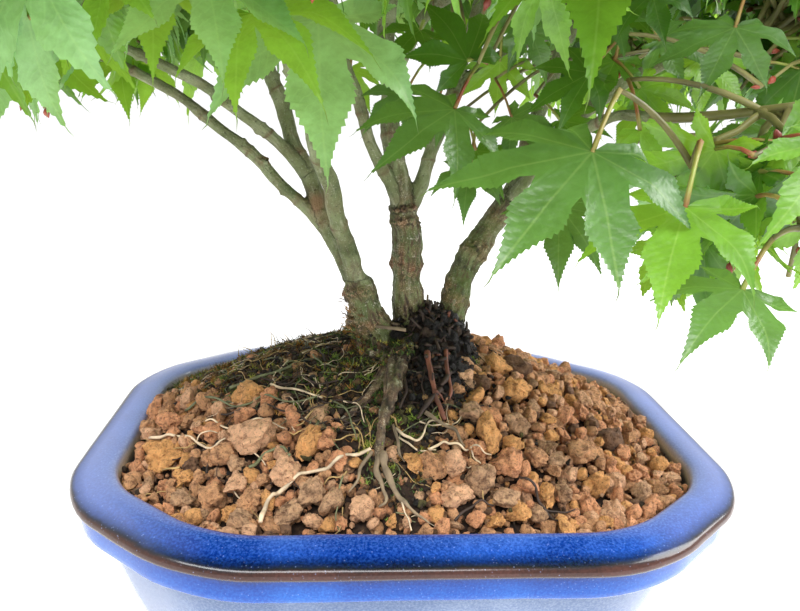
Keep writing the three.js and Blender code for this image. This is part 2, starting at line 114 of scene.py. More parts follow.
def makeMatt(name, stops, roughness, scale, detail=3, relief=None):
    # one noise between a few tones; relief gives the strength and depth of a bump from the same noise
    material, add, where = startMaterial(name)
    noise = add("TexNoise", {"Vector": where, "Scale": scale, "Detail": detail})
    inputs = {"Base Color": add("ValToRGB", {"Fac": noise}, stops), "Roughness": roughness}
    if relief:
        inputs["Normal"] = add("Bump", {"Height": noise, "Strength": relief[0], "Distance": relief[1]})
    return finishMaterial(material, add, inputs)


def unit(v):
    return v / np.maximum(np.linalg.norm(v, axis=-1, keepdims=True), 1e-9)


def lumps(points, size, seed=0):
    # a smooth field from -1 to 1 whose lumps are about size across
    scaled = np.asarray(points, float) / size
    cell = np.floor(scaled).astype(np.int64)
    part = scaled - cell
    part = part * part * (3 - 2 * part)
    total = np.zeros(len(scaled))
    for corner in itertools.product((0, 1), repeat=3):
        x, y, z = (cell + np.array(corner)).T
        key = (x * 73856093) ^ (y * 19349663) ^ (z * 83492791) ^ (seed * 668265263)
        key = (key ^ (key >> 13)) * 1274126177
        value = ((key >> 7) & 0xFFFF) / 32767.5 - 1
        total += np.prod(np.where(corner, part, 1 - part), axis=1) * value
    return total


def seeded(seed):
    # the source's run of numbers from 0 to 1
    state = seed
    while True:
        state = (state * 16807) % 2147483647
        yield state / 2147483647


def deselectAll():
    if bpy.context.mode != "OBJECT":
        bpy.ops.object.mode_set(mode="OBJECT")
    bpy.ops.object.select_all(action="DESELECT")


def takeUp(obj):
    deselectAll()
    obj.select_set(True)
    bpy.context.view_layer.objects.active = obj


def meshObject(name, points, faces, materials, choice=None):
    # points in millimetres; choice gives each face its material
    mesh = bpy.data.meshes.new(name)
    faces = faces if isinstance(faces, list) else faces.tolist()
    mesh.from_pydata((np.asarray(points) * mm).tolist(), [], faces)
    for material in materials:
        mesh.materials.append(material)
    if choice is not None:
        mesh.polygons.foreach_set("material_index", np.asarray(choice, np.int32))
    mesh.polygons.foreach_set("use_smooth", np.ones(len(mesh.polygons), bool))
    mesh.update()
    obj = bpy.data.objects.new(name, mesh)
    bpy.context.scene.collection.objects.link(obj)
    return obj


def pointsOf(obj, kind="co"):
    # places of the points in millimetres, or their normals
    data = np.zeros(len(obj.data.vertices) * 3)
    obj.data.vertices.foreach_get(kind, data)
    return data.reshape(-1, 3) / (mm if kind == "co" else 1)


def setPoints(obj, points):
    obj.data.vertices.foreach_set("co", (np.asarray(points) * mm).ravel())
    obj.data.update()


def setAttribute(obj, name, values):
    attribute = obj.data.attributes.new(name, "FLOAT", "POINT")
    attribute.data.foreach_set("value", np.asarray(values, np.float32))


def applyModifier(obj, kind, **settings):
    takeUp(obj)
    modifier = obj.modifiers.new(kind.lower(), kind)
    for key, value in settings.items():
        setattr(modifier, key, value)
    bpy.ops.object.modifier_apply(modifier=modifier.name)


def place(obj, body, slot, *nodes):
    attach(obj, body)
    if nodes:
        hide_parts(*nodes)


# Camera, at the photo's viewing angle. Pixels are given in the photo's 800 by 611 frame.

view = {
    "location": (-23.18, -207.25, 179.13),
    "pitch": 17.9,
    "yaw": 5.24,
    "roll": 2.94,
    "lens": 29.745,
    "sensor": 36,
    "width": 800,
    "height": 611,
}


def makeCamera():
    pitch, yaw, roll = (math.radians(view[key]) for key in ("pitch", "yaw", "roll"))
    ahead = Vector((math.sin(yaw) * math.cos(pitch), math.cos(yaw) * math.cos(pitch), -math.sin(pitch)))
    level = Vector((math.cos(yaw), -math.sin(yaw), 0))
    upright = level.cross(ahead)
    right = math.cos(roll) * level + math.sin(roll) * upright
    top = -math.sin(roll) * level + math.cos(roll) * upright
    data = bpy.data.cameras.new("camera")
    data.lens = view["lens"]
    data.sensor_width = view["sensor"]
    data.clip_start = 0.004
    camera = bpy.data.objects.new("camera", data)
    turn = Matrix((right, top, -ahead)).transposed().to_4x4()
    camera.matrix_world = Matrix.Translation(Vector(view["location"]) * mm) @ turn
    bpy.context.scene.collection.objects.link(camera)
    bpy.context.scene.camera = camera
    return np.array(right), np.array(top), np.array(ahead)


viewRight, viewTop, viewAhead = makeCamera()
eye = np.array(view["location"])
focal = view["lens"] / view["sensor"] * view["width"]


def pixelRay(px, py):
    across, down = (px - view["width"] / 2) / focal, (py - view["height"] / 2) / focal
    return viewAhead + across * viewRight - down * viewTop


def pointAt(pixel, depth):
    return eye + pixelRay(*pixel) * depth


def pixelOf(points):
    # where points land in the photo's frame, and how far ahead of the camera they are
    away = np.asarray(points) - eye
    depth = away @ viewAhead
    safe = np.maximum(depth, 1)
    px = view["width"] / 2 + focal * (away @ viewRight) / safe
    py = view["height"] / 2 - focal * (away @ viewTop) / safe
    return px, py, depth


print("camera set")


# Pot: a long rectangle with cut, softened corners, walked up and down its profile from its widest ring

pot = {
    "mouthHalfX": 89,
    "mouthHalfY": 61.5,
    "cutX": 33,
    "cutY": 25,
    "cornerSoftness": 17,
    "cornerSegments": 8,
    "longCuts": 9,
    "wave": 0.55,
    "waveSize": 26,
    "longEdge": 12,  # edges over this length get the cuts
    "footInner": -20,
    "footTop": 7,
    "footLong": (34, 27),
    "footCollar": 2,
    "footTaper": (0.985, 0.98, 1),
    "footRound": 0.8,
    "bareBelow": 1.4,
    "deepPull": 1.4,
    "sharpOver": 42,
}
mouthHalf = (pot["mouthHalfX"], pot["mouthHalfY"])

# offset from the mouth's edge and height, from the widest ring in over the rim and down to the floor
rimProfile = [
    (13.2, 66.2), (13.05, 66.9), (12.6, 67.6), (11.9, 68.1), (10.9, 68.45), (9.2, 68.9), (7.0, 69.5),
    (5.0, 69.9), (3.2, 70), (1.8, 69.85), (0.8, 69.4), (0.2, 68.7), (0, 67.8), (-0.3, 66), (-0.7, 62),
    (-1.6, 53), (-9, 34), (-15, 18), (-19, 13),
]
# and from the widest ring down the outside to the base
wallProfile = [
    (13.2, 65.8), (13.0, 65.2), (12.5, 64.7), (11.9, 64.4), (11.5, 64.0), (11.3, 63.4), (11.25, 62),
    (11.2, 59), (11.05, 57.4), (10.6, 56.6), (9.8, 56.1), (8.2, 55.9), (6.9, 55.7), (6.2, 55.2),
    (5.95, 54.6), (5.7, 53.9), (5.3, 53.1), (4.6, 50.5), (3.4, 46), (1.8, 40), (0.1, 34), (-2, 27.5),
    (-4.2, 21), (-6.3, 15), (-7.8, 10.8), (-8.7, 8.6), (-9.6, 7.4), (-11, 7),
]


def cornerLevel(offset):
    slant = math.hypot(pot["cutX"], pot["cutY"])
    return pot["cutY"] * pot["mouthHalfX"] + pot["cutX"] * (pot["mouthHalfY"] - pot["cutY"]) + offset * slant


def fromMouth(x, y):
    # distance outside the mouth's edge, negative inside, with the corners' true arcs
    slant = math.hypot(pot["cutX"], pot["cutY"])
    normals = np.array([[1, 0], [pot["cutY"] / slant, pot["cutX"] / slant], [0, 1]])
    levels = np.array([pot["mouthHalfX"], cornerLevel(0) / slant, pot["mouthHalfY"]])
    spot = np.stack([np.abs(x), np.abs(y)], axis=-1).astype(float)
    away = (spot @ normals.T - levels).max(axis=-1)
    for first, second in ((0, 1), (1, 2)):
        one, other = normals[first], normals[second]
        halfTurn = 0.5 * math.acos(one @ other)
        radius = pot["cornerSoftness"] / math.tan(halfTurn) - rimProfile[0][0]
        middle = np.linalg.solve(np.array([one, other]), levels[[first, second]] - radius)
        arm = spot - middle
        pastOne = one[0] * arm[..., 1] - one[1] * arm[..., 0] > 0
        beforeOther = arm[..., 0] * other[1] - arm[..., 1] * other[0] > 0
        away = np.where(pastOne & beforeOther, np.linalg.norm(arm, axis=-1) - radius, away)
    return away


def outwards(points):
    # roughly the way from the middle to the nearest side
    return unit(points[..., :2] * (1, pot["deepPull"]))


def cutCorners(offset, z):
    normal = unit(np.array([pot["cutY"], pot["cutX"], 0.0]))
    for signX, signY in itertools.product((1, -1), repeat=2):
        bpy.ops.mesh.select_all(action="SELECT")
        bpy.ops.mesh.bisect(
            plane_co=(signX * cornerLevel(offset) / pot["cutY"] * mm, 0, z * mm),
            plane_no=(signX * normal[0], signY * normal[1], 0),
            clear_outer=True,
        )


def walkInward(profile):
    # insets the selected face from ring to ring; heights follow the face's own direction
    facing = 1 if profile is rimProfile else -1
    for (offset, z), (nextOffset, nextZ) in zip(profile, profile[1:]):
        bpy.ops.mesh.inset(thickness=(offset - nextOffset) * mm, depth=facing * (nextZ - z) * mm)


def selectFaces(obj, test):
    bpy.ops.mesh.select_all(action="DESELECT")
    bpy.ops.object.mode_set(mode="OBJECT")
    for face in obj.data.polygons:
        face.select = bool(test(face.center / mm, face.normal, face))
    bpy.ops.object.mode_set(mode="EDIT")


def makePot():
    widest = rimProfile[0]
    deselectAll()
    bpy.ops.mesh.primitive_plane_add(size=2, location=(0, 0, wallProfile[0][1] * mm))
    obj = bpy.context.object
    obj.name = obj.data.name = "glazed_pot"
    obj.scale = (*((half + widest[0]) * mm for half in mouthHalf), 1)
    bpy.ops.object.transform_apply(location=True, rotation=True, scale=True)
    bpy.ops.object.mode_set(mode="EDIT")
    bpy.ops.mesh.select_mode(type="VERT")
    cutCorners(widest[0], wallProfile[0][1])
    bpy.ops.mesh.select_all(action="SELECT")
    bpy.ops.mesh.bevel(
        offset=pot["cornerSoftness"] * mm, segments=pot["cornerSegments"], profile=0.5, affect="VERTICES"
    )
    bpy.ops.mesh.select_mode(type="FACE")
    bpy.ops.mesh.select_all(action="SELECT")
    thick = (widest[1] - wallProfile[0][1]) * mm
    bpy.ops.mesh.extrude_region_move(TRANSFORM_OT_translate={"value": (0, 0, thick)})
    bpy.ops.mesh.select_all(action="SELECT")
    bpy.ops.mesh.normals_make_consistent(inside=False)
    selectFaces(obj, lambda centre, normal, face: normal.z > 0.9)
    walkInward(rimProfile)
    selectFaces(obj, lambda centre, normal, face: normal.z < -0.9 and centre.z > widest[1] - 1)
    walkInward(wallProfile)
    bpy.ops.mesh.inset(thickness=(wallProfile[-1][0] - pot["footInner"]) * mm, depth=0)
    # the long sides get even cuts, so that the feet can be drawn out of the corners
    bpy.ops.mesh.select_mode(type="EDGE")
    bpy.ops.mesh.select_all(action="DESELECT")
    bpy.ops.object.mode_set(mode="OBJECT")
    corners = pointsOf(obj)
    for edge in obj.data.edges:
        a, b = corners[edge.vertices[0]], corners[edge.vertices[1]]
        edge.select = bool(np.linalg.norm((a - b)[:2]) > pot["longEdge"] and abs(a[2] - b[2]) < 0.01)
    bpy.ops.object.mode_set(mode="EDIT")
    bpy.ops.mesh.subdivide(number_cuts=pot["longCuts"])
    bpy.ops.mesh.select_mode(type="FACE")
    footX, footY = (half + wallProfile[-1][0] - long for half, long in zip(mouthHalf, pot["footLong"]))

    def footPlace(centre, normal, face):
        ring = pot["footInner"] < fromMouth(centre.x, centre.y) < wallProfile[-1][0]
        low = abs(centre.z - pot["footTop"]) < 0.2 and normal.z < -0.9
        corner = abs(centre.x) > footX and abs(centre.y) > footY
        return low and ring and corner and len(face.vertices) == 4

    selectFaces(obj, footPlace)
    for depth in (pot["footCollar"], pot["footTop"] - pot["footCollar"]):
        bpy.ops.mesh.extrude_region_move(TRANSFORM_OT_translate={"value": (0, 0, -depth * mm)})
    bpy.ops.transform.resize(value=pot["footTaper"], center_override=(0, 0, 0))
    bpy.ops.mesh.bevel(offset=pot["footRound"] * mm, segments=2, affect="EDGES")
    bpy.ops.mesh.select_all(action="SELECT")
    bpy.ops.mesh.remove_doubles(threshold=1e-6)
    bpy.ops.mesh.normals_make_consistent(inside=False)
    bpy.ops.object.mode_set(mode="OBJECT")
    return obj


def profileWay(points):
    # way along the profile from the mouth's edge outwards, in millimetres; negative down the inside
    line = np.array(rimProfile[::-1] + wallProfile)
    steps = np.linalg.norm(np.diff(line, axis=0), axis=1)
    way = np.concatenate([[0], np.cumsum(steps)])
    mouth = way[len(rimProfile) - 1 - [p[0] for p in rimProfile].index(0)]
    flat = np.stack([fromMouth(points[:, 0], points[:, 1]), points[:, 2]], axis=1)
    best = np.full(len(flat), 1e9)
    found = np.zeros(len(flat))
    for i, step in enumerate(steps):
        if step < 1e-6:
            continue
        along = (line[i + 1] - line[i]) / step
        share = np.clip((flat - line[i]) @ along, 0, step)
        off = np.linalg.norm(flat - line[i] - share[:, None] * along, axis=1)
        nearer = off < best
        best[nearer] = off[nearer]
        found[nearer] = way[i] + share[nearer]
    return found - mouth


glaze = {
    "patch": 38,  # noise scales: patches of glaze, ripple of its edges, flecks and veil
    "ripple": 420,
    "flecks": 900,
    "veil": 1500,
    "wayRange": (-10, 60),
}
# way along the profile in millimetres, with the deep and the pale tone of the glaze there
glazeTones = [
    (-9, "#2A2C3A", "#3A4258"), (-3, "#4A463F", "#7A7468"), (-1, "#B4A78F", "#E0D5BE"),
    (0.4, "#9C979A", "#C9C5CA"),
    # the lavender at 1.6 is a painted reflection of the bright surroundings on the flatter inner part of the
    # rim top
    (1.6, "#34498C", "#8390C0"), (3.6, "#06307E", "#4A70C0"), (9.5, "#02246E", "#2C5AB8"),
    (12.0, "#041030", "#12306E"), (13.4, "#11141B", "#1E2128"), (14.3, "#2B1712", "#442720"),
    (16.2, "#371E18", "#50302A"), (17.3, "#181D26", "#2C323C"), (18.4, "#0C1B40", "#223E7E"),
    (19.6, "#0A2E78", "#1C4C9E"), (25, "#0C459C", "#2A6ABC"), (27.4, "#234C8C", "#446BA0"),
    # 29 to 32: the pale line in the groove under the fascia is a painted reflection
    (29, "#5E6C90", "#8490B0"), (30.2, "#AEB5C8", "#CCD0DE"), (31.2, "#6A7AA2", "#8A98B8"),
    (32, "#8E9AB8", "#AAB2C8"), (33, "#4A6086", "#7889A6"), (58, "#57698F", "#8692AC"),
]
# and the paler tones on the short sides and the back, where a reflection of the bright surroundings is
# painted
sideReflectionTones = [
    (-9, "#5A5F6E"), (-3, "#8B877E"), (-1, "#A8A194"), (0.4, "#A6A7B4"), (1.8, "#8E9AC0"), (9.5, "#7F8EBE"),
    (12.0, "#5D6FA8"), (13.4, "#2A2E3A"), (14.3, "#4A3830"), (16.2, "#57443C"), (17.3, "#3A4048"),
    (18.6, "#3C5CA8"), (27, "#6A80B4"), (29, "#949CB4"), (31, "#B4BCD6"), (33, "#828EAA"), (58, "#8D97B1"),
]


def makeGlaze():
    # Stoneware under a thick running blue glaze: glassy cobalt with fine pale flecks, broken to brown where
    # it thins over the bead and greyed beside it; painted reflections make it lavender near the inner edge,
    # pale in the line under the fascia and paler on the short sides and the back
    material, add, where = startMaterial("glazed stoneware, running blue")
    way = add("Attribute", out="Fac", attribute_name="way")
    patch = add("TexNoise", {"Vector": where, "Scale": glaze["patch"], "Detail": 4})
    fine = add("TexNoise", {"Vector": where, "Scale": glaze["ripple"], "Detail": 4, "Roughness": 0.6})
    flecks = add("TexVoronoi", {"Vector": where, "Scale": glaze["flecks"]})
    veil = add("TexNoise", {"Vector": where, "Scale": glaze["veil"], "Detail": 3, "Roughness": 0.6})
    # the bands' edges sway with both noises
    for noise, reach in ((patch, 1.8), (fine, 1.1)):
        sway = add("Math", {0: noise, 1: 0.5}, operation="SUBTRACT")
        way = add("Math", {0: sway, 1: reach, 2: way}, operation="MULTIPLY_ADD")
    first, last = glaze["wayRange"]
    share = add("MapRange", {"Value": way, "From Min": first, "From Max": last})

    def ramp(stops):
        stops = [((spot - first) / (last - first), code) for spot, code in stops]
        return add("ValToRGB", {"Fac": share}, stops)

    deep = ramp([(spot, code) for spot, code, _ in glazeTones])
    pale = ramp([(spot, code) for spot, _, code in glazeTones])
    pool = add("MapRange", {"Value": patch, "From Min": 0.46, "From Max": 0.7})
    drift = add("MapRange", {"Value": veil, "From Min": 0.4, "From Max": 0.88})
    mixing = add("Math", {0: pool, 1: 0.6, 2: drift}, operation="MULTIPLY_ADD", use_clamp=True)
    # painted reflection: paler on the short sides and the back than on the long front, as the bright
    # surroundings glance off the glaze there
    sideways = add("Math", {0: add("SeparateXYZ", {"Vector": where}, out="X")}, operation="ABSOLUTE")
    sideways = add("MapRange", {"Value": sideways, "From Min": 0.055, "From Max": 0.098})
    deepness = add("SeparateXYZ", {"Vector": where}, out="Y")
    behind = add("MapRange", {"Value": deepness, "From Min": -0.05, "From Max": 0.02})
    sideReflection = add("Math", {0: sideways, 1: behind}, operation="MAXIMUM")
    tone = overlay(add, deep, [
        (pale, mixing),
        (ramp(sideReflectionTones), (sideReflection, 0, 1, 0.62)),
        ("#A9BCEB", (flecks, 0.2, 0.08, 0.55), drift),
    ])
    dips = add("Bump", {"Height": fine, "Strength": 0.1, "Distance": 0.0004})
    return finishMaterial(material, add, {
        "Base Color": tone, "Roughness": 0.17, "Specular IOR Level": 0.3, "Coat Weight": 0.12,
        "Coat Roughness": 0.06, "Normal": dips,
    })


glazedPot = makePot()
waves = bpy.data.textures.new("hand made wave", "CLOUDS")
waves.noise_scale = pot["waveSize"] * mm
potPoints = pointsOf(glazedPot)
setAttribute(glazedPot, "way", profileWay(potPoints))
lowest = potPoints[:, 2].min()
applyModifier(glazedPot, "DISPLACE", texture=waves, strength=pot["wave"] * mm, texture_coords="LOCAL")
potPoints = pointsOf(glazedPot)
potPoints[:, 2] = np.clip(potPoints[:, 2], lowest, potHeight + 0.1)
setPoints(glazedPot, potPoints)
glazedPot.data.materials.append(makeGlaze())
# Unglazed stoneware on the foot rims: fired buff clay, dry and slightly gritty
glazedPot.data.materials.append(makeMatt(
    "stoneware clay, unglazed", [(0.3, "#7C6452"), (0.7, "#A88C74")], 0.85, 900, relief=(0.3, 0.0003)
))
for face in glazedPot.data.polygons:
    face.material_index = 1 if face.center.z < pot["bareBelow"] * mm else 0
takeUp(glazedPot)
bpy.ops.object.shade_smooth_by_angle(angle=math.radians(pot["sharpOver"]))
place(glazedPot, "root", "glazed_stoneware", "pot")
print("pot made:", len(glazedPot.data.polygons), "faces")


# Ground: the mound's smooth height, as in the source

mound = {"edge": -4, "rise": 31, "halfX": 92, "halfY": 66, "x": -3, "y": 5, "power": 1.15}


def ground(x, y):
    across = (np.asarray(x, float) - mound["x"]) / mound["halfX"]
    deep = (np.asarray(y, float) - mound["y"]) / mound["halfY"]
    return mound["edge"] + mound["rise"] * np.maximum(0, 1 - across ** 2 - deep ** 2) ** mound["power"]


# black peat between the stems' feet: x, y, half width and half depth of its peak, of the notch that it fills
# beside the stems and of its arm to the front
heap = {"peak": (8.5, 1, 13, 11), "notch": (-4, 1, 6, 8), "arm": (7, -11, 11, 17), "rise": 13}


def heapShare(x, y):
    x, y = np.asarray(x, float), np.asarray(y, float)
    peak, notch, arm = (
        ((x - x0) / halfX) ** 2 + ((y - y0) / halfY) ** 2
        for x0, y0, halfX, halfY in (heap[part] for part in ("peak", "notch", "arm"))
    )
    return np.maximum(np.maximum(np.exp(-peak ** 2), 0.8 * np.exp(-notch)), 0.6 * np.exp(-arm))


def surface(x, y):
    return ground(x, y) + heap["rise"] * heapShare(x, y) ** 1.5


def onGround(px, py, lift=0.0):
    # where the ray through a pixel meets the ground or the heap, lifted by so much
    steps = np.arange(60, 420, 0.2)
    points = eye + pixelRay(px, py) * steps[:, None]
    below = points[:, 2] - potHeight < surface(points[:, 0], points[:, 1]) + lift
    if not below.any():
        return None, None
    first = below.argmax()
    return points[first], steps[first]


# front edge of the humus and moss: x and y in millimetres, from the left wall to the front root
mossEdge = [(-95, 25), (-74, 8), (-51, -19), (-26, -30), (-13, -50), (0, -56), (12, -20)]
mossFade = {"front": 2.5, "side": 4, "sideX": 8}  # how softly it ends at that edge and beside the stems


def mossShare(x, y):
    # how far humus and moss take the place of bare grains: behind that edge, as far as the stems
    x, y = np.asarray(x, float), np.asarray(y, float)
    edge = np.interp(x, *np.array(mossEdge, float).T)
    beside = 1 + np.exp((x - mossFade["sideX"]) / mossFade["side"])
    return 1 / (1 + np.exp((edge - y) / mossFade["front"])) / beside


# Soil: a bed under a packed layer of baked clay and lava grains

soil = {
    "bedDepth": 5.2,
    "bedPitch": 1.6,
    "bedFoot": 16,
    "wallGap": 0.35,
    "wallRoom": 0.9,
    "footShare": 0.8,
    "smallUnder": 2.5,
    "swell": 1.24,
    "seed": 5,
    "tries": 14,
    "overlap": 0.76,
    "proud": 0.5,
    "count": 5200,
    "mostMisses": 900,
    "usualRadius": 3.0,
    "sizes": [0.6, 0.8, 1, 1.25, 1.6],  # shares of the usual radius, with their chances
    "sizeChances": [0.22, 0.26, 0.26, 0.18, 0.08],
    "toneChances": [0.17, 0.13, 0.26, 0.33, 0.06, 0.05],
    "strays": 95,  # grains that lie on the moss
    "strayRadius": (0.9, 2.6),
    "strayToneChances": [0.1, 0.1, 0.2, 0.35, 0.1, 0.15],
}

tones = {
    "tan": "#D6A680", "ochre": "#D2995E", "rust": "#C48A62",
    "brown": "#B5865F", "grey": "#AC8766", "dark": "#6C4F39",
}
# pixel across, pixel down, width in pixels and tone of the large grains at the front
largeGrains = [
    (251, 444, 44, "tan"), (309, 447, 31, "ochre"), (210, 435, 26, "rust"), (188, 420, 18, "brown"),
    (170, 423, 20, "rust"), (150, 427, 18, "brown"), (191, 433, 10, "ochre"), (164, 460, 36, "ochre"),
    (141, 470, 14, "rust"), (162, 487, 16, "rust"), (148, 482, 12, "grey"), (185, 481, 21, "ochre"),
    (185, 501, 24, "grey"), (193, 465, 16, "dark"), (210, 458, 15, "brown"), (213, 503, 29, "brown"),
    (238, 487, 27, "tan"), (238, 465, 18, "grey"), (285, 475, 31, "tan"), (252, 506, 28, "brown"),
    (231, 514, 17, "ochre"), (311, 498, 29, "grey"), (288, 517, 30, "grey"), (312, 523, 16, "tan"),
    (264, 481, 14, "brown"), (328, 439, 22, "rust"), (250, 396, 30, "ochre"), (271, 399, 20, "rust"),
    (284, 407, 12, "rust"), (361, 512, 26, "tan"), (414, 465, 19, "ochre"), (433, 471, 31, "brown"),
    (458, 499, 29, "tan"), (488, 438, 32, "ochre"), (472, 417, 28, "grey"), (453, 414, 12, "ochre"),
    (506, 466, 33, "rust"), (481, 483, 32, "grey"), (506, 501, 26, "grey"), (519, 515, 23, "ochre"),
    (475, 521, 19, "rust"), (498, 522, 18, "ochre"), (444, 443, 13, "rust"), (514, 393, 27, "ochre"),
    (481, 384, 20, "dark"), (579, 453, 34, "brown"), (595, 485, 31, "ochre"), (548, 498, 25, "ochre"),
    (613, 514, 25, "tan"), (592, 509, 20, "rust"), (642, 493, 22, "grey"), (674, 469, 16, "rust"),
    (642, 424, 16, "tan"), (591, 401, 30, "brown"), (579, 412, 19, "rust"), (619, 440, 14, "dark"),
    (547, 447, 20, "grey"), (534, 459, 24, "brown"), (515, 424, 24, "grey"), (551, 436, 14, "ochre"),
    (340, 523, 13, "rust"), (393, 521, 12, "ochre"), (407, 521, 11, "tan"), (425, 520, 13, "rust"),
]


def makeSoilBed():
    deselectAll()
    halfX, halfY = (half - soil["wallGap"] for half in mouthHalf)
    cutsX, cutsY = int(2 * halfX / soil["bedPitch"]), int(2 * halfY / soil["bedPitch"])
    bpy.ops.mesh.primitive_grid_add(x_subdivisions=cutsX, y_subdivisions=cutsY, size=2)
    obj = bpy.context.object
    obj.name = obj.data.name = "soil_bed"
    obj.scale = (halfX * mm, halfY * mm, 1)
    bpy.ops.object.transform_apply(location=True, rotation=True, scale=True)
    bpy.ops.object.mode_set(mode="EDIT")
    cutCorners(-soil["wallGap"], 0)
    bpy.ops.mesh.select_all(action="SELECT")
    bpy.ops.mesh.extrude_region_move(TRANSFORM_OT_translate={"value": (0, 0, potHeight * mm)})
    bpy.ops.mesh.select_all(action="SELECT")
    bpy.ops.mesh.normals_make_consistent(inside=False)
    bpy.ops.object.mode_set(mode="OBJECT")
    points = pointsOf(obj)
    high = points[:, 2] > 1
    points[high, 2] = potHeight + bedHeight(points[high, 0], points[high, 1])
    # the bed's foot narrows with the pot's inside and stops above its floor
    points[~high, :2] *= soil["footShare"]
    points[~high, 2] = soil["bedFoot"]
    setPoints(obj, points)
    # Damp fine humus and dust between the grains: near black, matt
    tone = [(0.3, "#1B130E"), (0.55, "#33241A"), (0.75, "#4E3A28")]
    obj.data.materials.append(makeMatt("humus, damp and dark", tone, 0.95, 700, 4, (0.6, 0.0008)))
    bpy.ops.object.shade_smooth()
    return obj


def bedHeight(x, y):
    rough = 0.7 * lumps(np.stack([x, y, 0 * x], axis=1), 3.5, 3)
    raised = soil["bedDepth"] * (1 - 0.8 * mossShare(x, y))
    return ground(x, y) - raised + (heap["rise"] - 0.5) * heapShare(x, y) ** 1.5 + rough


soilBed = makeSoilBed()
place(soilBed, "root", "grain_soil", "soil")


def unitSphere(level):
    deselectAll()
    bpy.ops.mesh.primitive_ico_sphere_add(subdivisions=level, radius=1)
    obj = bpy.context.object
    points = np.array([vertex.co for vertex in obj.data.vertices])
    faces = np.array([face.vertices for face in obj.data.polygons])
    bpy.data.objects.remove(obj)
    return points, faces


balls = [unitSphere(level) for level in (1, 2, 3, 4)]


def stoneShape(ball, random):
    # a lump of radius about 1: broken faces, then crumbly relief down to what its mesh can carry
    points = ball[0].copy()
    seed = random.randint(1, 9999)
    points *= (1 + 0.24 * lumps(points, 1.0, seed))[:, None]
    for _ in range(random.randint(4, 8)):
        normal = unit(random.normal(size=3))
        over = np.maximum(0, points @ normal - random.uniform(0.42, 0.78))
        points -= 0.85 * over[:, None] * normal
    outward = unit(points)
    relief = 0.2 * lumps(points, 0.5, seed + 1)
    if len(ball[0]) > 100:
        relief += 0.15 * lumps(points, 0.26, seed + 2) - 0.16 * np.maximum(0, lumps(points, 0.34, seed + 3))
    if len(ball[0]) > 500:
        relief += 0.09 * lumps(points, 0.13, seed + 4)
    points += relief[:, None] * outward
    points *= np.array([1, random.uniform(0.7, 0.95), random.uniform(0.62, 0.9)])
    return points


def randomTurn(random):
    q = unit(random.normal(size=4))
    w, x, y, z = q
    return np.array([
        [1 - 2 * (y * y + z * z), 2 * (x * y - z * w), 2 * (x * z + y * w)],
        [2 * (x * y + z * w), 1 - 2 * (x * x + z * z), 2 * (y * z - x * w)],
        [2 * (x * z - y * w), 2 * (y * z + x * w), 1 - 2 * (x * x + y * y)],
    ])


def makeGrainMaterial(name, code, roughness=0.92):
    # Baked clay or lava grain: dry and porous, with painted highlights on its crust and painted shade in its
    # pores and crevices
    material, add, where = startMaterial(f"baked grain, {name}")
    base = baseOf(code)
    crust = add("TexNoise", {"Vector": where, "Scale": 420, "Detail": 6, "Roughness": 0.72})
    pores = add("TexNoise", {"Vector": where, "Scale": 1100, "Detail": 5, "Roughness": 0.75})
    # high is the painted highlight, low the painted shade in pores and crevices
    low, high = base * (0.3, 0.22, 0.17), base * min(1.9, 0.98 / base.max())
    tone = overlay(add, colour(base), [
        (high, (crust, 0.42, 0.66)), (low, (crust, 0.46, 0.33, 0.85)), (low, (pores, 0.46, 0.32)),
    ])
    height = add("Math", {0: pores, 1: 0.5, 2: crust}, operation="MULTIPLY_ADD")
    rough = add("Bump", {"Height": height, "Strength": 1.0, "Distance": 0.0024})
    return finishMaterial(material, add, {"Base Color": tone, "Roughness": roughness, "Normal": rough})


toneNames = list(tones)
grainMaterials = [makeGrainMaterial(name, code) for name, code in tones.items()]


def inMoss(x, y):
    return mossShare(x, y) + 0.25 * lumps(np.array([[x, y, 0.0]]), 9, 31)[0] > 0.5


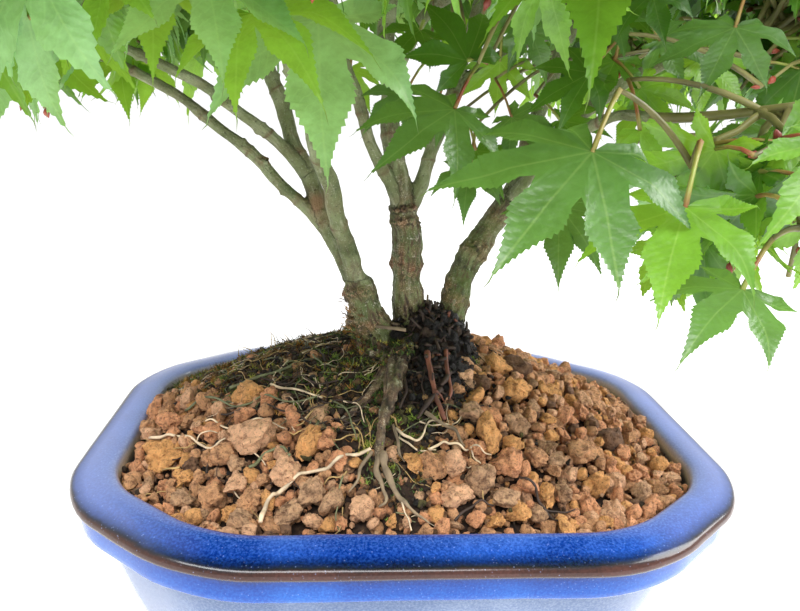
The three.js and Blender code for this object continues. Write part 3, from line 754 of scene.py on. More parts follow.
def packGrains():
    # grains are dropped one by one onto those below, each to the lowest of a few places
    random = np.random.RandomState(soil["seed"])
    centres, radii, kinds = np.zeros((0, 3)), np.zeros(0), []

    def add(centre, radius, kind):
        nonlocal centres, radii
        centres = np.vstack([centres, centre])
        radii = np.append(radii, radius)
        kinds.append(kind)

    for px, py, width, tone in largeGrains:
        point, depth = onGround(px, py, 1.0)
        if point is None:
            continue
        radius = 0.5 * width * depth / focal
        back = unit(np.array([pixelRay(px, py)]))[0]
        centre = point + back * radius * 0.35
        reach = fromMouth(centre[0], centre[1])
        if reach > -radius * 0.9:
            centre[:2] -= outwards(centre) * (reach + radius * 0.9)
        centre[2] = potHeight + ground(centre[0], centre[1]) + 0.12 * radius
        add(centre, radius, toneNames.index(tone))
    large = len(radii)
    # some lie strayed and half sunk in the moss
    while len(radii) < large + soil["strays"]:
        x, y = (random.uniform(-half, half) for half in mouthHalf)
        radius = random.uniform(*soil["strayRadius"])
        if fromMouth(x, y) > -radius or not inMoss(x, y) or heapShare(x, y) > 0.2:
            continue
        if np.hypot(centres[:, 0] - x, centres[:, 1] - y).min() > 1.6 * radius:
            kind = random.choice(len(toneNames), p=soil["strayToneChances"])
            add((x, y, potHeight + ground(x, y) - 0.25 * radius), radius, kind)
    misses = 0
    while len(radii) < soil["count"] and misses < soil["mostMisses"]:
        best = None
        for _ in range(soil["tries"]):
            x, y = (random.uniform(-half, half) for half in mouthHalf)
            # the grains are a little smaller on the right
            usual = soil["usualRadius"] - 0.4 / (1 + math.exp(-(x - 8) / 12))
            radius = usual * random.choice(soil["sizes"], p=soil["sizeChances"])
            if fromMouth(x, y) > -0.85 * radius or inMoss(x, y) or heapShare(x, y) > 0.3:
                continue
            reach = (radii + radius) * soil["overlap"]
            flat = reach ** 2 - (centres[:, 0] - x) ** 2 - (centres[:, 1] - y) ** 2
            near = flat > 0
            rest = potHeight + ground(x, y) - soil["bedDepth"] + 0.5 * radius
            if near.any():
                rest = max(rest, (centres[near, 2] + np.sqrt(flat[near])).max())
            over = rest - potHeight - ground(x, y)
            if best is None or over - 0.25 * radius < best[0]:
                best = (over - 0.25 * radius, (x, y, rest), radius, over)
        if best is None or best[3] > soil["proud"] * best[2]:
            misses += 1
            continue
        add(best[1], best[2], random.choice(len(toneNames), p=soil["toneChances"]))
    return centres, radii, np.array(kinds), large


grainCentres, grainRadii, grainKinds, largeCount = packGrains()
print("grains packed:", len(grainRadii))


def joinLumps(name, picks, centres, radii, kinds, materials, shapesOf, random, angle, inPot=False):
    # each lump is one of the shapes for its size, turned at random
    points, faces, choice, count = [], [], [], 0
    for i in picks:
        shapes, ballFaces = shapesOf(i)
        shape = shapes[random.randint(len(shapes))]
        points.append(shape @ randomTurn(random).T * radii[i] + centres[i])
        faces.append(ballFaces + count)
        choice.append(np.full(len(ballFaces), kinds[i]))
        count += len(shape)
    points = np.vstack(points)
    if inPot:
        # nothing pokes through the pot's wall
        over = np.maximum(fromMouth(points[:, 0], points[:, 1]) + soil["wallRoom"], 0)
        points[:, :2] -= over[:, None] * outwards(points)
    obj = meshObject(name, points, np.vstack(faces), materials, np.concatenate(choice))
    takeUp(obj)
    bpy.ops.object.shade_smooth_by_angle(angle=math.radians(angle))
    place(obj, "root", "grain_soil")
    print(name, len(picks), "lumps", len(obj.data.polygons), "faces")


order = np.argsort(-grainRadii)
others = order[order >= largeCount]
for pieceName, chosen, ball, variants in [
    ("soil_grains_front_1", order[order < largeCount], balls[3], 26),
    ("soil_grains_large_1", others[grainRadii[others] > soil["smallUnder"]], balls[2], 30),
    ("soil_grains_small_1", others[grainRadii[others] <= soil["smallUnder"]], balls[1], 40),
]:
    stoneRandom = np.random.RandomState(7 + variants)
    stones = [stoneShape(ball, stoneRandom) for _ in range(variants)], ball[1]
    joinLumps(
        pieceName, chosen, grainCentres, soil["swell"] * grainRadii, grainKinds, grainMaterials,
        lambda i: stones, stoneRandom, 38, True,
    )


# Limbs: the source's routes, each a smooth line through its nodes

# name, foot (or the limb that it leaves and the share of that limb's way), tip, bow, radii at foot and tip
limbs = [
    ("stem_left", (-11, 1, 27), (-19, 1, 48), (1, 0, 0), (6, 5)),
    ("stem_centre", (-1, 6, 26), (-4, 8, 73), (1, 0, 0), (5.5, 4.6)),
    ("stem_right", (12, 7, 28), (33, 12, 79), (-3.5, 0, 0), (4.9, 3.9)),
    ("bough_left_back", ("stem_left", 0.85), (-56, 34, 138), (-3, -5, 0), (3.3, 2)),
    ("bough_left_front", ("stem_left", 0.95), (-42, -44, 132), (0, 6, 1), (2.9, 2)),
    ("bough_left_low", ("bough_left_back", 0.17), (-98, 15, 115), (-1, 0, 8), (2.1, 1.5)),
    ("bough_left_outer", ("bough_left_back", 0.4), (-90, -10, 119), (2, 3, 4), (2, 1.4)),
    ("bough_centre_left", ("stem_centre", 0.93), (-36, -6, 172), (-5, -3, -2), (2.1, 1.5)),
    ("bough_centre_top", ("stem_centre", 0.96), (-4, 6, 204), (-8, 1, 0), (3.3, 1.9)),
    ("bough_centre_back", ("stem_centre", 0.92), (26, 50, 156), (1, -9, 0), (2.5, 1.6)),
    ("bough_front", ("bough_centre_top", 0.3), (6, -40, 132), (0, 0, 8), (1.9, 1.4)),
    ("bough_right_outer", ("stem_right", 0.96), (88, -4, 127), (-4, 0, 8), (2.5, 1.7)),
    ("bough_right_top", ("stem_right", 0.97), (66, 22, 182), (-1, 4, -2), (2.7, 1.7)),
    ("bough_right_front", ("stem_right", 0.9), (56, -36, 106), (2, 2, 10), (2, 1.4)),
    ("bough_right_back", ("bough_centre_back", 0.45), (66, 50, 132), (0, 0, 6), (1.8, 1.3)),
]
limbNodes = {"gap": 13, "sway": 0.5}


def at(x, y, h):
    return np.array([x, y, potHeight + h], float)


def bent(start, control, end, share):
    share = np.asarray(share, float)[..., None]
    return (1 - share) ** 2 * start + 2 * share * (1 - share) * control + share ** 2 * end


def arched(start, end, rise, count):
    # a line that rises in its middle by a share of its length
    middle = (start + end) / 2 + rise * np.linalg.norm(end - start) * up
    return bent(start, middle, end, np.linspace(0, 1, count))


def wayAlong(path):
    return np.concatenate([[0], np.cumsum(np.linalg.norm(np.diff(path, axis=0), axis=1))])


def spaced(path, count):
    # points at equal distances along a path
    way = wayAlong(path)
    goal = np.linspace(0, way[-1], count)
    return np.stack([np.interp(goal, way, path[:, i]) for i in range(3)], axis=1)


def smoothed(path, steps):
    # a curve through all the points of a path
    ends = np.vstack([2 * path[0] - path[1], path, 2 * path[-1] - path[-2]])
    out = []
    for a, b, c, d in zip(ends, ends[1:], ends[2:], ends[3:]):
        for t in np.arange(steps) / steps:
            out.append(0.5 * (2 * b + (c - a) * t + (2 * a - 5 * b + 4 * c - d) * t ** 2
                              + (3 * b - a - 3 * c + d) * t ** 3))
    return np.vstack([out, path[-1:]])


def limbRoute(foot, tip, bow):
    control = (foot + tip) / 2 + 2 * np.array(bow, float)
    curve = bent(foot, control, tip, np.linspace(0, 1, 201))
    length = np.linalg.norm(np.diff(curve, axis=0), axis=1).sum()
    nodes = max(4, round(length / limbNodes["gap"]))
    path = spaced(curve, nodes + 1)
    sway = np.where(np.arange(nodes + 1) % 2, limbNodes["sway"], -limbNodes["sway"])
    sway[[0, -1]] = 0
    return path + sway[:, None] * (1, 0.6, 0)


def alongPath(path, share):
    # the place at a share of a path's points, and the number of the point before it
    spot = share * (len(path) - 1)
    before = min(int(spot), len(path) - 2)
    return path[before] + (path[before + 1] - path[before]) * (spot - before), before


routes = {}
for name, foot, tip, bow, _ in limbs:
    onParent = isinstance(foot[0], str)
    limbFoot = alongPath(routes[foot[0]], foot[1])[0] if onParent else at(*foot)
    routes[name] = limbRoute(limbFoot, at(*tip), bow)


def framesAlong(path):
    # a steady pair of cross directions at each point of a path
    ahead = unit(np.gradient(path, axis=0))
    aside = np.zeros_like(path)
    start = np.array([0.31, 0.95, 0.05]) if abs(ahead[0][2]) > 0.8 else up
    aside[0] = unit(start - (start @ ahead[0]) * ahead[0])
    for i in range(1, len(path)):
        carried = aside[i - 1] - (aside[i - 1] @ ahead[i]) * ahead[i]
        aside[i] = unit(carried)
    return ahead, aside, np.cross(ahead, aside)


def ringFaces(rows, count):
    # faces between rings of points, closed at both ends
    faces = []
    for i in range(rows - 1):
        for j in range(count):
            k = (j + 1) % count
            faces.append((i * count + j, i * count + k, (i + 1) * count + k, (i + 1) * count + j))
    faces.append(tuple(range(count))[::-1])
    faces.append(tuple((rows - 1) * count + j for j in range(count)))
    return faces


def tube(path, radii, sides):
    _, aside, across = framesAlong(path)
    turns = 2 * np.pi * np.arange(sides) / sides
    ring = np.cos(turns)[None, :, None] * aside[:, None] + np.sin(turns)[None, :, None] * across[:, None]
    points = (path[:, None] + ring * np.asarray(radii, float)[:, None, None]).reshape(-1, 3)
    return points, ringFaces(len(path), sides)


def joinParts(parts):
    points, faces, count = [], [], 0
    for partPoints, partFaces in parts:
        points.append(partPoints)
        faces += [tuple(count + i for i in face) for face in partFaces]
        count += len(partPoints)
    return np.vstack(points), faces


# Wood: roots, flare, stems and boughs grown together into one skin

wood = {
    "voxel": 0.56,
    "limbSides": 14,
    "rootSides": 10,
    "footSwell": 0.42,
    "ringGap": (13.0, 27.0),
    "ringWidth": 0.5,
    "swellWidth": 2.1,
    "grainStretch": 4.5,
    "seed": 17,
}
# marks seen on the bark: pixel, half width and half height in pixels
barkMarks = {
    "collar": [(420, 222, 34, 6), (348, 292, 24, 6), (474, 246, 20, 6), (268, 160, 10, 5)],
    "strip": [(402, 268, 4, 26), (352, 320, 5, 14), (448, 290, 4, 14)],
    "scar": [(317, 203, 8, 13)],
}

# turn in degrees, start and length from the flare's middle, radius, bend, how far sunk
surfaceRoots = [
    (255, 6, 43, 4.6, -1, 0),
    (228, 12, 40, 2.2, 7, 0.6),
    (294, 8, 30, 2.6, -5, 0.8),
    (186, 12, 34, 3.8, 4, 3.4),
    (345, 12, 28, 3.4, -4, 3.6),
    (70, 6, 30, 3.4, 4, 2.4),
]
flare = {
    "x": 1, "y": 4.5, "halfX": 23, "halfY": 14.5,
    "rows": [(1.0, 21.5), (0.93, 25), (0.74, 29), (0.5, 32.5)],  # share of its width, and height
}

lines = []  # every line of wood: path, radii, kind, places of its rings


def limbLine(name, isBough, footRadius, tipRadius):
    path = smoothed(routes[name], 6)
    way = wayAlong(path)
    radii = footRadius + (tipRadius - footRadius) * way / way[-1]
    if isBough:
        return path, radii * (1 + wood["footSwell"] * np.exp(-way / (2.2 * footRadius)))
    # a stem's foot spreads into the flare
    path = np.vstack([path[0] + (path[0] - path[1]) * 1.5 - (0, 0, 5), path])
    return path, np.append(radii[0] * 1.35, radii * (1 + 0.3 * np.exp(-way / 7)))


def rootLine(index, turn, start, length, radius, bend, sunk):
    along = np.linspace(0, 1, 26)
    turn = math.radians(turn)
    reach = start + length * along
    sway = bend * np.sin(np.pi * along)
    flat = np.stack([
        flare["x"] + reach * math.cos(turn) - sway * math.sin(turn),
        flare["y"] + reach * math.sin(turn) + sway * math.cos(turn),
        0 * along,
    ], axis=1)
    for axis, seed in ((0, 40), (1, 50)):
        flat[:, axis] += 1.3 * along * lumps(flat, 9, index + seed)
    radii = radius * (1 - 0.78 * along ** 1.1)
    flat[:, 2] = potHeight + ground(flat[:, 0], flat[:, 1]) + 0.4 * radii + 0.5 * lumps(flat, 6, index + 60)
    flat[:, 2] -= sunk
    return flat, radii


def flareLoft():
    turns = np.linspace(0, 2 * np.pi, 40, endpoint=False)
    rings = []
    for scale, h in flare["rows"]:
        lump = 1 + 0.07 * np.sin(3 * turns + 0.6) + 0.06 * np.sin(7 * turns + 0.3 * h)
        rings.append(np.stack([
            flare["x"] + np.cos(turns) * flare["halfX"] * scale * lump * 0.8,
            flare["y"] + np.sin(turns) * flare["halfY"] * scale * lump * 0.85,
            np.full(len(turns), potHeight + h),
        ], axis=1))
    return np.vstack(rings), ringFaces(len(rings), len(turns))


def makeBark():
    # Maple bark: smooth grey green on the boughs, fissured and flaking grey brown on the old wood, with
    # brown rings at the nodes, pale lichen and a film of moss near the soil
    material, add, where = startMaterial("maple bark")
    age, ring, moss, crack, flake, earthy, scar = (
        add("Attribute", out="Fac", attribute_name=name)
        for name in ("age", "ring", "moss", "crack", "flake", "earthy", "scar")
    )
    grain = add("Attribute", out="Vector", attribute_name="grain")
    broad, fine, patch, streak, speck = (
        add("TexNoise", {"Vector": vector, "Scale": scale, "Detail": detail, "Roughness": roughness})
        for vector, scale, detail, roughness in (
            (where, 120, 4, 0.5), (where, 900, 5, 0.65), (where, 330, 3, 0.6), (grain, 620, 5, 0.65),
            (where, 2300, 2, 0.5),
        )
    )
    young = add("ValToRGB", {"Fac": broad}, [(0.3, "#566139"), (0.5, "#767F55"), (0.7, "#98A07A")])
    old = add("ValToRGB", {"Fac": broad}, [
        (0.3, "#384023"), (0.45, "#566134"), (0.6, "#747E4E"), (0.75, "#A3A787"),
    ])
    rooty = add("ValToRGB", {"Fac": patch}, [
        (0.32, "#2E241B"), (0.48, "#5E4E3C"), (0.6, "#85735C"), (0.72, "#A89880"),
    ])
    tone = overlay(add, young, [
        (old, age),
        (rooty, earthy),
        ("#A9A98E", (streak, 0.56, 0.68, 0.55)),
        ("#CFCDB8", (patch, 0.55, 0.62), age, (speck, 0.46, 0.6)),  # lichen
        ("#B9B9A0", (speck, 0.62, 0.7, 0.5)),
        ("#7A5236", flake, (patch, 0.42, 0.54)),
        ("#B8997C", flake, age, (speck, 0.5, 0.62)),
        ("#5C4430", (streak, 0.49, 0.42, 0.85), age),
        ("#2C2118", (streak, 0.41, 0.35, 0.9), age),
        ("#353220", (fine, 0.42, 0.3, 0.8)),
        ("#5B4028", ring),
        ("#2A2118", crack),
        ("#86694A", scar, (broad, 0.3, 0.5)),
        ("#56682C", moss, (patch, 0.42, 0.58)),
    ])
    height = add("Math", {0: fine, 1: 0.6, 2: streak}, operation="MULTIPLY_ADD")
    rough = add("Bump", {"Height": height, "Strength": 1.0, "Distance": 0.0009})
    return finishMaterial(material, add, {"Base Color": tone, "Roughness": 0.72, "Normal": rough})


def addKnobs(parts, path, radii, rings, random):
    # short stubs of lost side shoots at the rings of a bough
    ahead, aside, across = framesAlong(path)
    way = wayAlong(path)
    for ring in rings[rings < way[-1] - 4]:
        i = int(np.searchsorted(way, ring))
        turn = random.uniform(0, 2 * math.pi)
        for hand in (1, -1):
            outward = hand * (math.cos(turn) * aside[i] + math.sin(turn) * across[i])
            heading = unit(outward + random.uniform(0.5, 1.1) * ahead[i])
            reach = radii[i] + random.uniform(0.4, 1.7)
            knob = path[i] + heading * np.array([[0.0], [0.6], [1.0]]) * reach
            parts.append(tube(knob, np.array([0.62, 0.5, 0.34]) * min(radii[i], 2.2), 7))


def makeWood():
    random = np.random.RandomState(wood["seed"])
    parts = [flareLoft()]
    for name, foot, _, _, ends in limbs:
        isBough = isinstance(foot[0], str)
        path, radii = limbLine(name, isBough, *ends)
        rings = np.cumsum(random.uniform(*wood["ringGap"], size=14))
        lines.append((path, radii, "limb", rings))
        parts.append(tube(path, radii, wood["limbSides"]))
        if isBough:
            addKnobs(parts, path, radii, rings, random)
    for index, root in enumerate(surfaceRoots):
        path, radii = rootLine(index, *root)
        lines.append((path, radii, "root", None))
        parts.append(tube(path, radii, wood["rootSides"]))
    obj = meshObject("roots_stems_boughs", *joinParts(parts), [makeBark()])
    applyModifier(obj, "REMESH", mode="VOXEL", voxel_size=wood["voxel"] * mm, use_smooth_shade=True)
    applyModifier(obj, "SMOOTH", factor=0.5, iterations=3)
    carveBark(obj)
    return obj


def marked(kind, points):
    px, py, _ = pixelOf(points)
    return np.max([
        np.exp(-((px - x) / halfX) ** 2 - ((py - y) / halfY) ** 2) for x, y, halfX, halfY in barkMarks[kind]
    ], axis=0)


def sampleLines():
    # a search tree over the points of all lines, with what is known at each of them
    samples = []
    tree = KDTree(sum(len(line[0]) for line in lines))
    for number, (path, radii, kind, rings) in enumerate(lines):
        ahead, aside, across = framesAlong(path)
        way = wayAlong(path)
        for i, point in enumerate(path):
            tree.insert(point, len(samples))
            samples.append((number, way[i], radii[i], point, ahead[i], aside[i], across[i], kind, rings))
    tree.balance()
    return tree, samples


def carveBark(obj):
    tree, samples = sampleLines()
    points, normals = pointsOf(obj), pointsOf(obj, "normal")
    stretched = np.zeros_like(points)
    ring, swell, radius, isRoot = (np.zeros(len(points)) for _ in range(4))
    drift = 1.5 * lumps(points, 5, 16) + 0.5 * lumps(points, 1.7, 17)
    for i, point in enumerate(points):
        found = tree.find_n(Vector(point), 4)
        _, pick, _ = min(found, key=lambda hit: hit[2] - samples[hit[1]][2])
        number, way, r, centre, ahead, aside, across, kind, rings = samples[pick]
        away = point - centre
        along = way + away @ ahead
        stretched[i] = (away @ aside, away @ across, along / wood["grainStretch"] + 31 * number)
        radius[i] = r
        isRoot[i] = kind == "root"
        if kind == "limb":
            nearest = np.abs(rings - along - drift[i]).min()
            ring[i] = math.exp(-(nearest / wood["ringWidth"]) ** 2)
            swell[i] = math.exp(-(nearest / wood["swellWidth"]) ** 2)
    h = points[:, 2] - potHeight
    low = np.clip((42 - h) / 14, 0, 1)
    age = np.clip(np.clip((radius - 2.4) / 2.2, 0, 1) + isRoot + low, 0, 1)
    streak = lumps(stretched, 1.5, 3) + 0.5 * lumps(stretched, 0.7, 4)
    crack = np.clip(1 - np.abs(streak) / 0.16, 0, 1) * np.clip(lumps(points, 5, 9) + 0.5, 0, 1) * age
    thick = np.minimum(1, radius / 4)
    # lumps from coarse to fine, then ridges along the limb
    relief = (0.45 + 0.45 * age) * lumps(points, 5, 5) * thick
    relief += 0.2 * lumps(points, 1.9, 6) * (0.4 + age) + 0.09 * lumps(points, 0.9, 7) * (0.4 + age)
    relief += 0.35 * age * streak * thick
    # rings with their swellings, cracks, flakes beside the rings, and the roots' own ridges
    relief += 0.2 * ring + 0.06 * radius * swell - 0.95 * crack
    relief += 0.5 * age * swell * np.abs(lumps(points * (1, 1, 2.2), 1.4, 14))
    relief += 0.55 * isRoot * lumps(stretched, 2.2, 8)
    collar, strip, scar = (marked(kind, points) * (h < 90) for kind in ("collar", "strip", "scar"))
    flaky = np.abs(lumps(points * (1, 1, 2.4), 1.3, 18))
    relief += collar * (0.3 + 1.5 * flaky) + strip * (0.2 + 1.1 * flaky) + 0.9 * scar
    setPoints(obj, points + normals * relief[:, None])
    rightStem = np.clip((points[:, 0] - 9) / 6, 0, 1) * (h < 88)
    flake = (swell * 1.1 + 0.7 * lumps(points, 5, 13)) * (0.2 + 0.8 * age)
    for name, values in {
        "age": age,
        "ring": 0.9 * ring * np.clip(0.5 + 1.2 * lumps(points, 2.4, 11), 0, 1),
        "crack": crack * 1.3 + 0.9 * (collar + strip) * (flaky < 0.12),
        "scar": 1.4 * scar,
        "moss": low * 0.6 * (1 - 0.8 * isRoot) + 0.45 * lumps(points, 6, 12) + 0.45 * rightStem,
        "earthy": isRoot + 0.6 * np.clip((33 - h) / 6, 0, 1) + 0.4 * lumps(points, 5, 15),
        "flake": np.maximum(flake, 1.2 * (collar + strip)),
    }.items():
        setAttribute(obj, name, np.clip(values, 0, 1))
    grain = obj.data.attributes.new("grain", "FLOAT_VECTOR", "POINT")
    grain.data.foreach_set("vector", (stretched * mm).astype(np.float32).ravel())


woodSkin = makeWood()
place(woodSkin, "root", "old_bark", "root_flare", *routes)
print("wood made:", len(woodSkin.data.polygons), "faces")


# Forest floor: humus and peat crumbs, moss tufts, fibres and surface rootlets

litter = {
    "seed": 43,
    "crumbs": 5600,
    "fines": 2600,
    "tufts": 640,
    "flareTufts": 150,
    "climbing": 60,
    "flareCrumbs": 900,
    "fibres": 560,
    "grasses": 46,
    "splinters": 120,
    "shapes": 14,
    "coarse": 1.2,
    "mostFaces": 180000,
    "flareCrumbRadius": (0.5, 1.1),
    "fineRadius": (0.55, 1.45),
    "fineDepth": (0.6, 3.4),
    "tuftHeight": (0.9, 2.3),
    "bladeHalf": 0.16,
    "fibreLength": (6, 22),
    "fibreRadii": [0.14, 0.2, 0.3, 0.42],
    "grassLength": (3, 8),
    "splinterLength": (2.5, 6),
    "splinterRadius": (0.25, 0.7),
}
crumbMaterials = [makeGrainMaterial(*tone) for tone in [
    ("black peat", "#14100D", 0.5), ("brown humus", "#35271B", 0.9), ("earth", "#60462F", 0.92),
    ("olive humus", "#4A4524", 0.92), ("clay dust", "#97754F", 0.92),
]]
groundChances = np.array([0.22, 0.34, 0.2, 0.14, 0.1])  # of those tones, on the ground and on the heap
heapChances = np.array([0.88, 0.11, 0.01, 0.0, 0.0])
fineChances = [0.08, 0.08, 0.14, 0.28, 0.1, 0.32]  # of the grains' tones among the fines
litterRandom = np.random.RandomState(litter["seed"])


def scatterOn(count, weight, room=0.8):
    # places on the ground, more of them where the weight is high
    found = []
    while len(found) < count:
        x, y = (litterRandom.uniform(-half, half, 4000) for half in mouthHalf)
        keep = (fromMouth(x, y) < -room) & (litterRandom.uniform(size=4000) < weight(x, y))
        found += list(zip(x[keep], y[keep]))
    return np.array(found[:count])


def joinCrumbs(name, places, radii, kinds, materials):
    # coarse crumbs have more faces; the pieces stay within a number of faces
    shapes = [
        ([stoneShape(ball, litterRandom) for _ in range(litter["shapes"])], ball[1]) for ball in balls[:2]
    ]

    def shapesOf(i):
        return shapes[int(radii[i] > litter["coarse"])]

    parts = math.ceil(sum(len(shapesOf(i)[1]) for i in range(len(radii))) / litter["mostFaces"])
    for part, some in enumerate(np.array_split(np.arange(len(places)), parts)):
        joinLumps(f"{name}_{part + 1}", some, places, radii, kinds, materials, shapesOf, litterRandom, 40)


def makeCrumbs():
    spots = scatterOn(litter["crumbs"], lambda x, y: 0.03 + 0.6 * mossShare(x, y) ** 2 + 3 * heapShare(x, y))
    x, y = spots.T
    heaped = heapShare(x, y)
    radii = 0.6 + (1.3 + 0.5 * heaped) * litterRandom.uniform(size=len(spots)) ** 2.4
    lift = litterRandom.uniform(-0.5, 0.9, len(spots)) * (0.6 + heaped)
    z = potHeight + surface(x, y) - 0.35 * radii + lift
    kinds = [
        litterRandom.choice(5, p=(1 - share) * groundChances + share * heapChances)
        for share in np.clip(3 * heaped, 0, 1)
    ]
    clinging, _ = onFlare(litter["flareCrumbs"], lambda p, n, h: (
        (h < 34 + 4 * lumps(p, 5, 23)) & (n[:, 2] > -0.2) & ((p[:, 0] > -2) | (lumps(p, 4, 24) > 0.1))
    ))
    centres = np.vstack([np.stack([x, y, z], axis=1), clinging])
    radii = np.append(radii, litterRandom.uniform(*litter["flareCrumbRadius"], len(clinging)))
    heapKinds, groundKinds = (
        litterRandom.choice(5, len(clinging), p=chances) for chances in (heapChances, groundChances)
    )
    kinds += list(np.where(clinging[:, 0] > -2, heapKinds, groundKinds))
    joinCrumbs("humus_crumbs", centres, radii, kinds, crumbMaterials)
    # small broken grains fill the gaps between the large ones
    spots = scatterOn(litter["fines"], lambda x, y: 1 - 0.8 * mossShare(x, y))
    x, y = spots.T
    radii = litterRandom.uniform(*litter["fineRadius"], len(spots))
    z = potHeight + ground(x, y) - litterRandom.uniform(*litter["fineDepth"], len(spots))
    kinds = litterRandom.choice(len(toneNames), len(spots), p=fineChances)
    joinCrumbs("grain_fines", np.stack([x, y, z], axis=1), radii, kinds, grainMaterials)


def makePlain(name, code, roughness):
    # one tone, lighter and darker by patches
    base = baseOf(code)
    return makeMatt(name, [(0.36, base * 0.62), (0.64, np.minimum(base * 1.3, 1))], roughness, 260)


def onFlare(count, test):
    # points of the wood's skin that pass the test, with their normals
    skin, normals = pointsOf(woodSkin), pointsOf(woodSkin, "normal")
    near = np.hypot((skin[:, 0] - flare["x"]) / 24, (skin[:, 1] - flare["y"]) / 20) < 1
    picks = np.flatnonzero(near & test(skin, normals, skin[:, 2] - potHeight))
    picks = litterRandom.choice(picks, min(count, len(picks)), replace=False)
    return skin[picks], normals[picks]


def addTuft(blades, base, facing, height, count, kind):
    # a few short bent blades that spread from one place
    for _ in range(count):
        lean = unit(up + facing + 0.75 * litterRandom.normal(size=3) * (1, 1, 0.3))
        aside = unit(np.cross(lean, litterRandom.normal(size=3)))
        root = base + litterRandom.normal(size=3) * (0.8, 0.8, 0.2)
        middle = root + lean * height * 0.55
        tip = middle + unit(lean + 0.5 * litterRandom.normal(size=3)) * height * 0.5
        half = litter["bladeHalf"] * aside
        blades.append(([root - half, root + half, middle + 0.8 * half, middle - 0.8 * half, tip], kind))


def makeMoss():
    # Moss blades: fresh greens by the stems, dried orange and brown towards the front
    materials = [makePlain(f"moss, {name}", code, 0.8) for name, code in [
        ("fresh", "#6F8530"), ("yellow tips", "#A09C42"), ("dark", "#3F5520"),
        ("dried orange", "#9A6F2F"), ("dried brown", "#5E4423"),
    ]]
    freshChances = np.array([0.3, 0.1, 0.4, 0.1, 0.1])
    driedChances = np.array([0.05, 0.06, 0.14, 0.35, 0.4])

    def thick(x, y):
        patches = np.clip(0.5 + lumps(np.stack([x, y, 0 * x], axis=1), 11, 21), 0, 1)
        return mossShare(x, y) * (0.2 + 0.8 * patches) * np.clip(1 - 3 * heapShare(x, y), 0, 1)

    blades = []
    for x, y in scatterOn(litter["tufts"], thick, 1.5):
        dried = 1 / (1 + math.exp((y - 4) / -8))
        kind = litterRandom.choice(5, p=freshChances * (1 - dried) + driedChances * dried)
        base = np.array([x, y, potHeight + surface(x, y) - 0.3])
        height = litterRandom.uniform(*litter["tuftHeight"]) * (1 + 0.6 * dried)
        addTuft(blades, base, 0 * up, height, litterRandom.randint(12, 24), kind)
    # some stand on the roots, and dried moss climbs the outer side of the left stem
    for count, test, turned, heights, bladeCount, chances in [
        (litter["flareTufts"], lambda p, n, h: (h < 33) & (n[:, 2] > 0) & ((p[:, 0] < -7) | (p[:, 1] < -3)),
         0.6, (0.7, 1.5), 14, freshChances),
        (litter["climbing"], lambda p, n, h: (h > 24) & (h < 44) & (n[:, 0] < -0.35) & (p[:, 0] < -9),
         1, (1.0, 2.2), 12, driedChances),
    ]:
        for base, normal in zip(*onFlare(count, test)):
            height = litterRandom.uniform(*heights)
            addTuft(blades, base, turned * normal, height, bladeCount, litterRandom.choice(5, p=chances))
    points = np.array([point for blade, _ in blades for point in blade])
    faces, choice = [], []
    for number, (_, kind) in enumerate(blades):
        a, b, c, d, e = range(5 * number, 5 * number + 5)
        faces += [(a, b, c, d), (d, c, e)]
        choice += [kind, kind]
    moss = meshObject("moss_tufts", points, faces, materials, choice)
    place(moss, "root", "grain_soil")
    print("moss", len(moss.data.polygons), "faces")


def wander(x, y, heading, length, lift):
    # a line over the surface that turns as it goes
    steps = max(5, int(length / 1.8))
    path = []
    for _ in range(steps):
        path.append((x, y, potHeight + surface(x, y) + lift + 0.7 * litterRandom.uniform(-0.4, 1)))
        heading += litterRandom.normal() * 0.38
        x += math.cos(heading) * length / steps
        y += math.sin(heading) * length / steps
        if fromMouth(x, y) > -1:
            break
    return np.array(path)


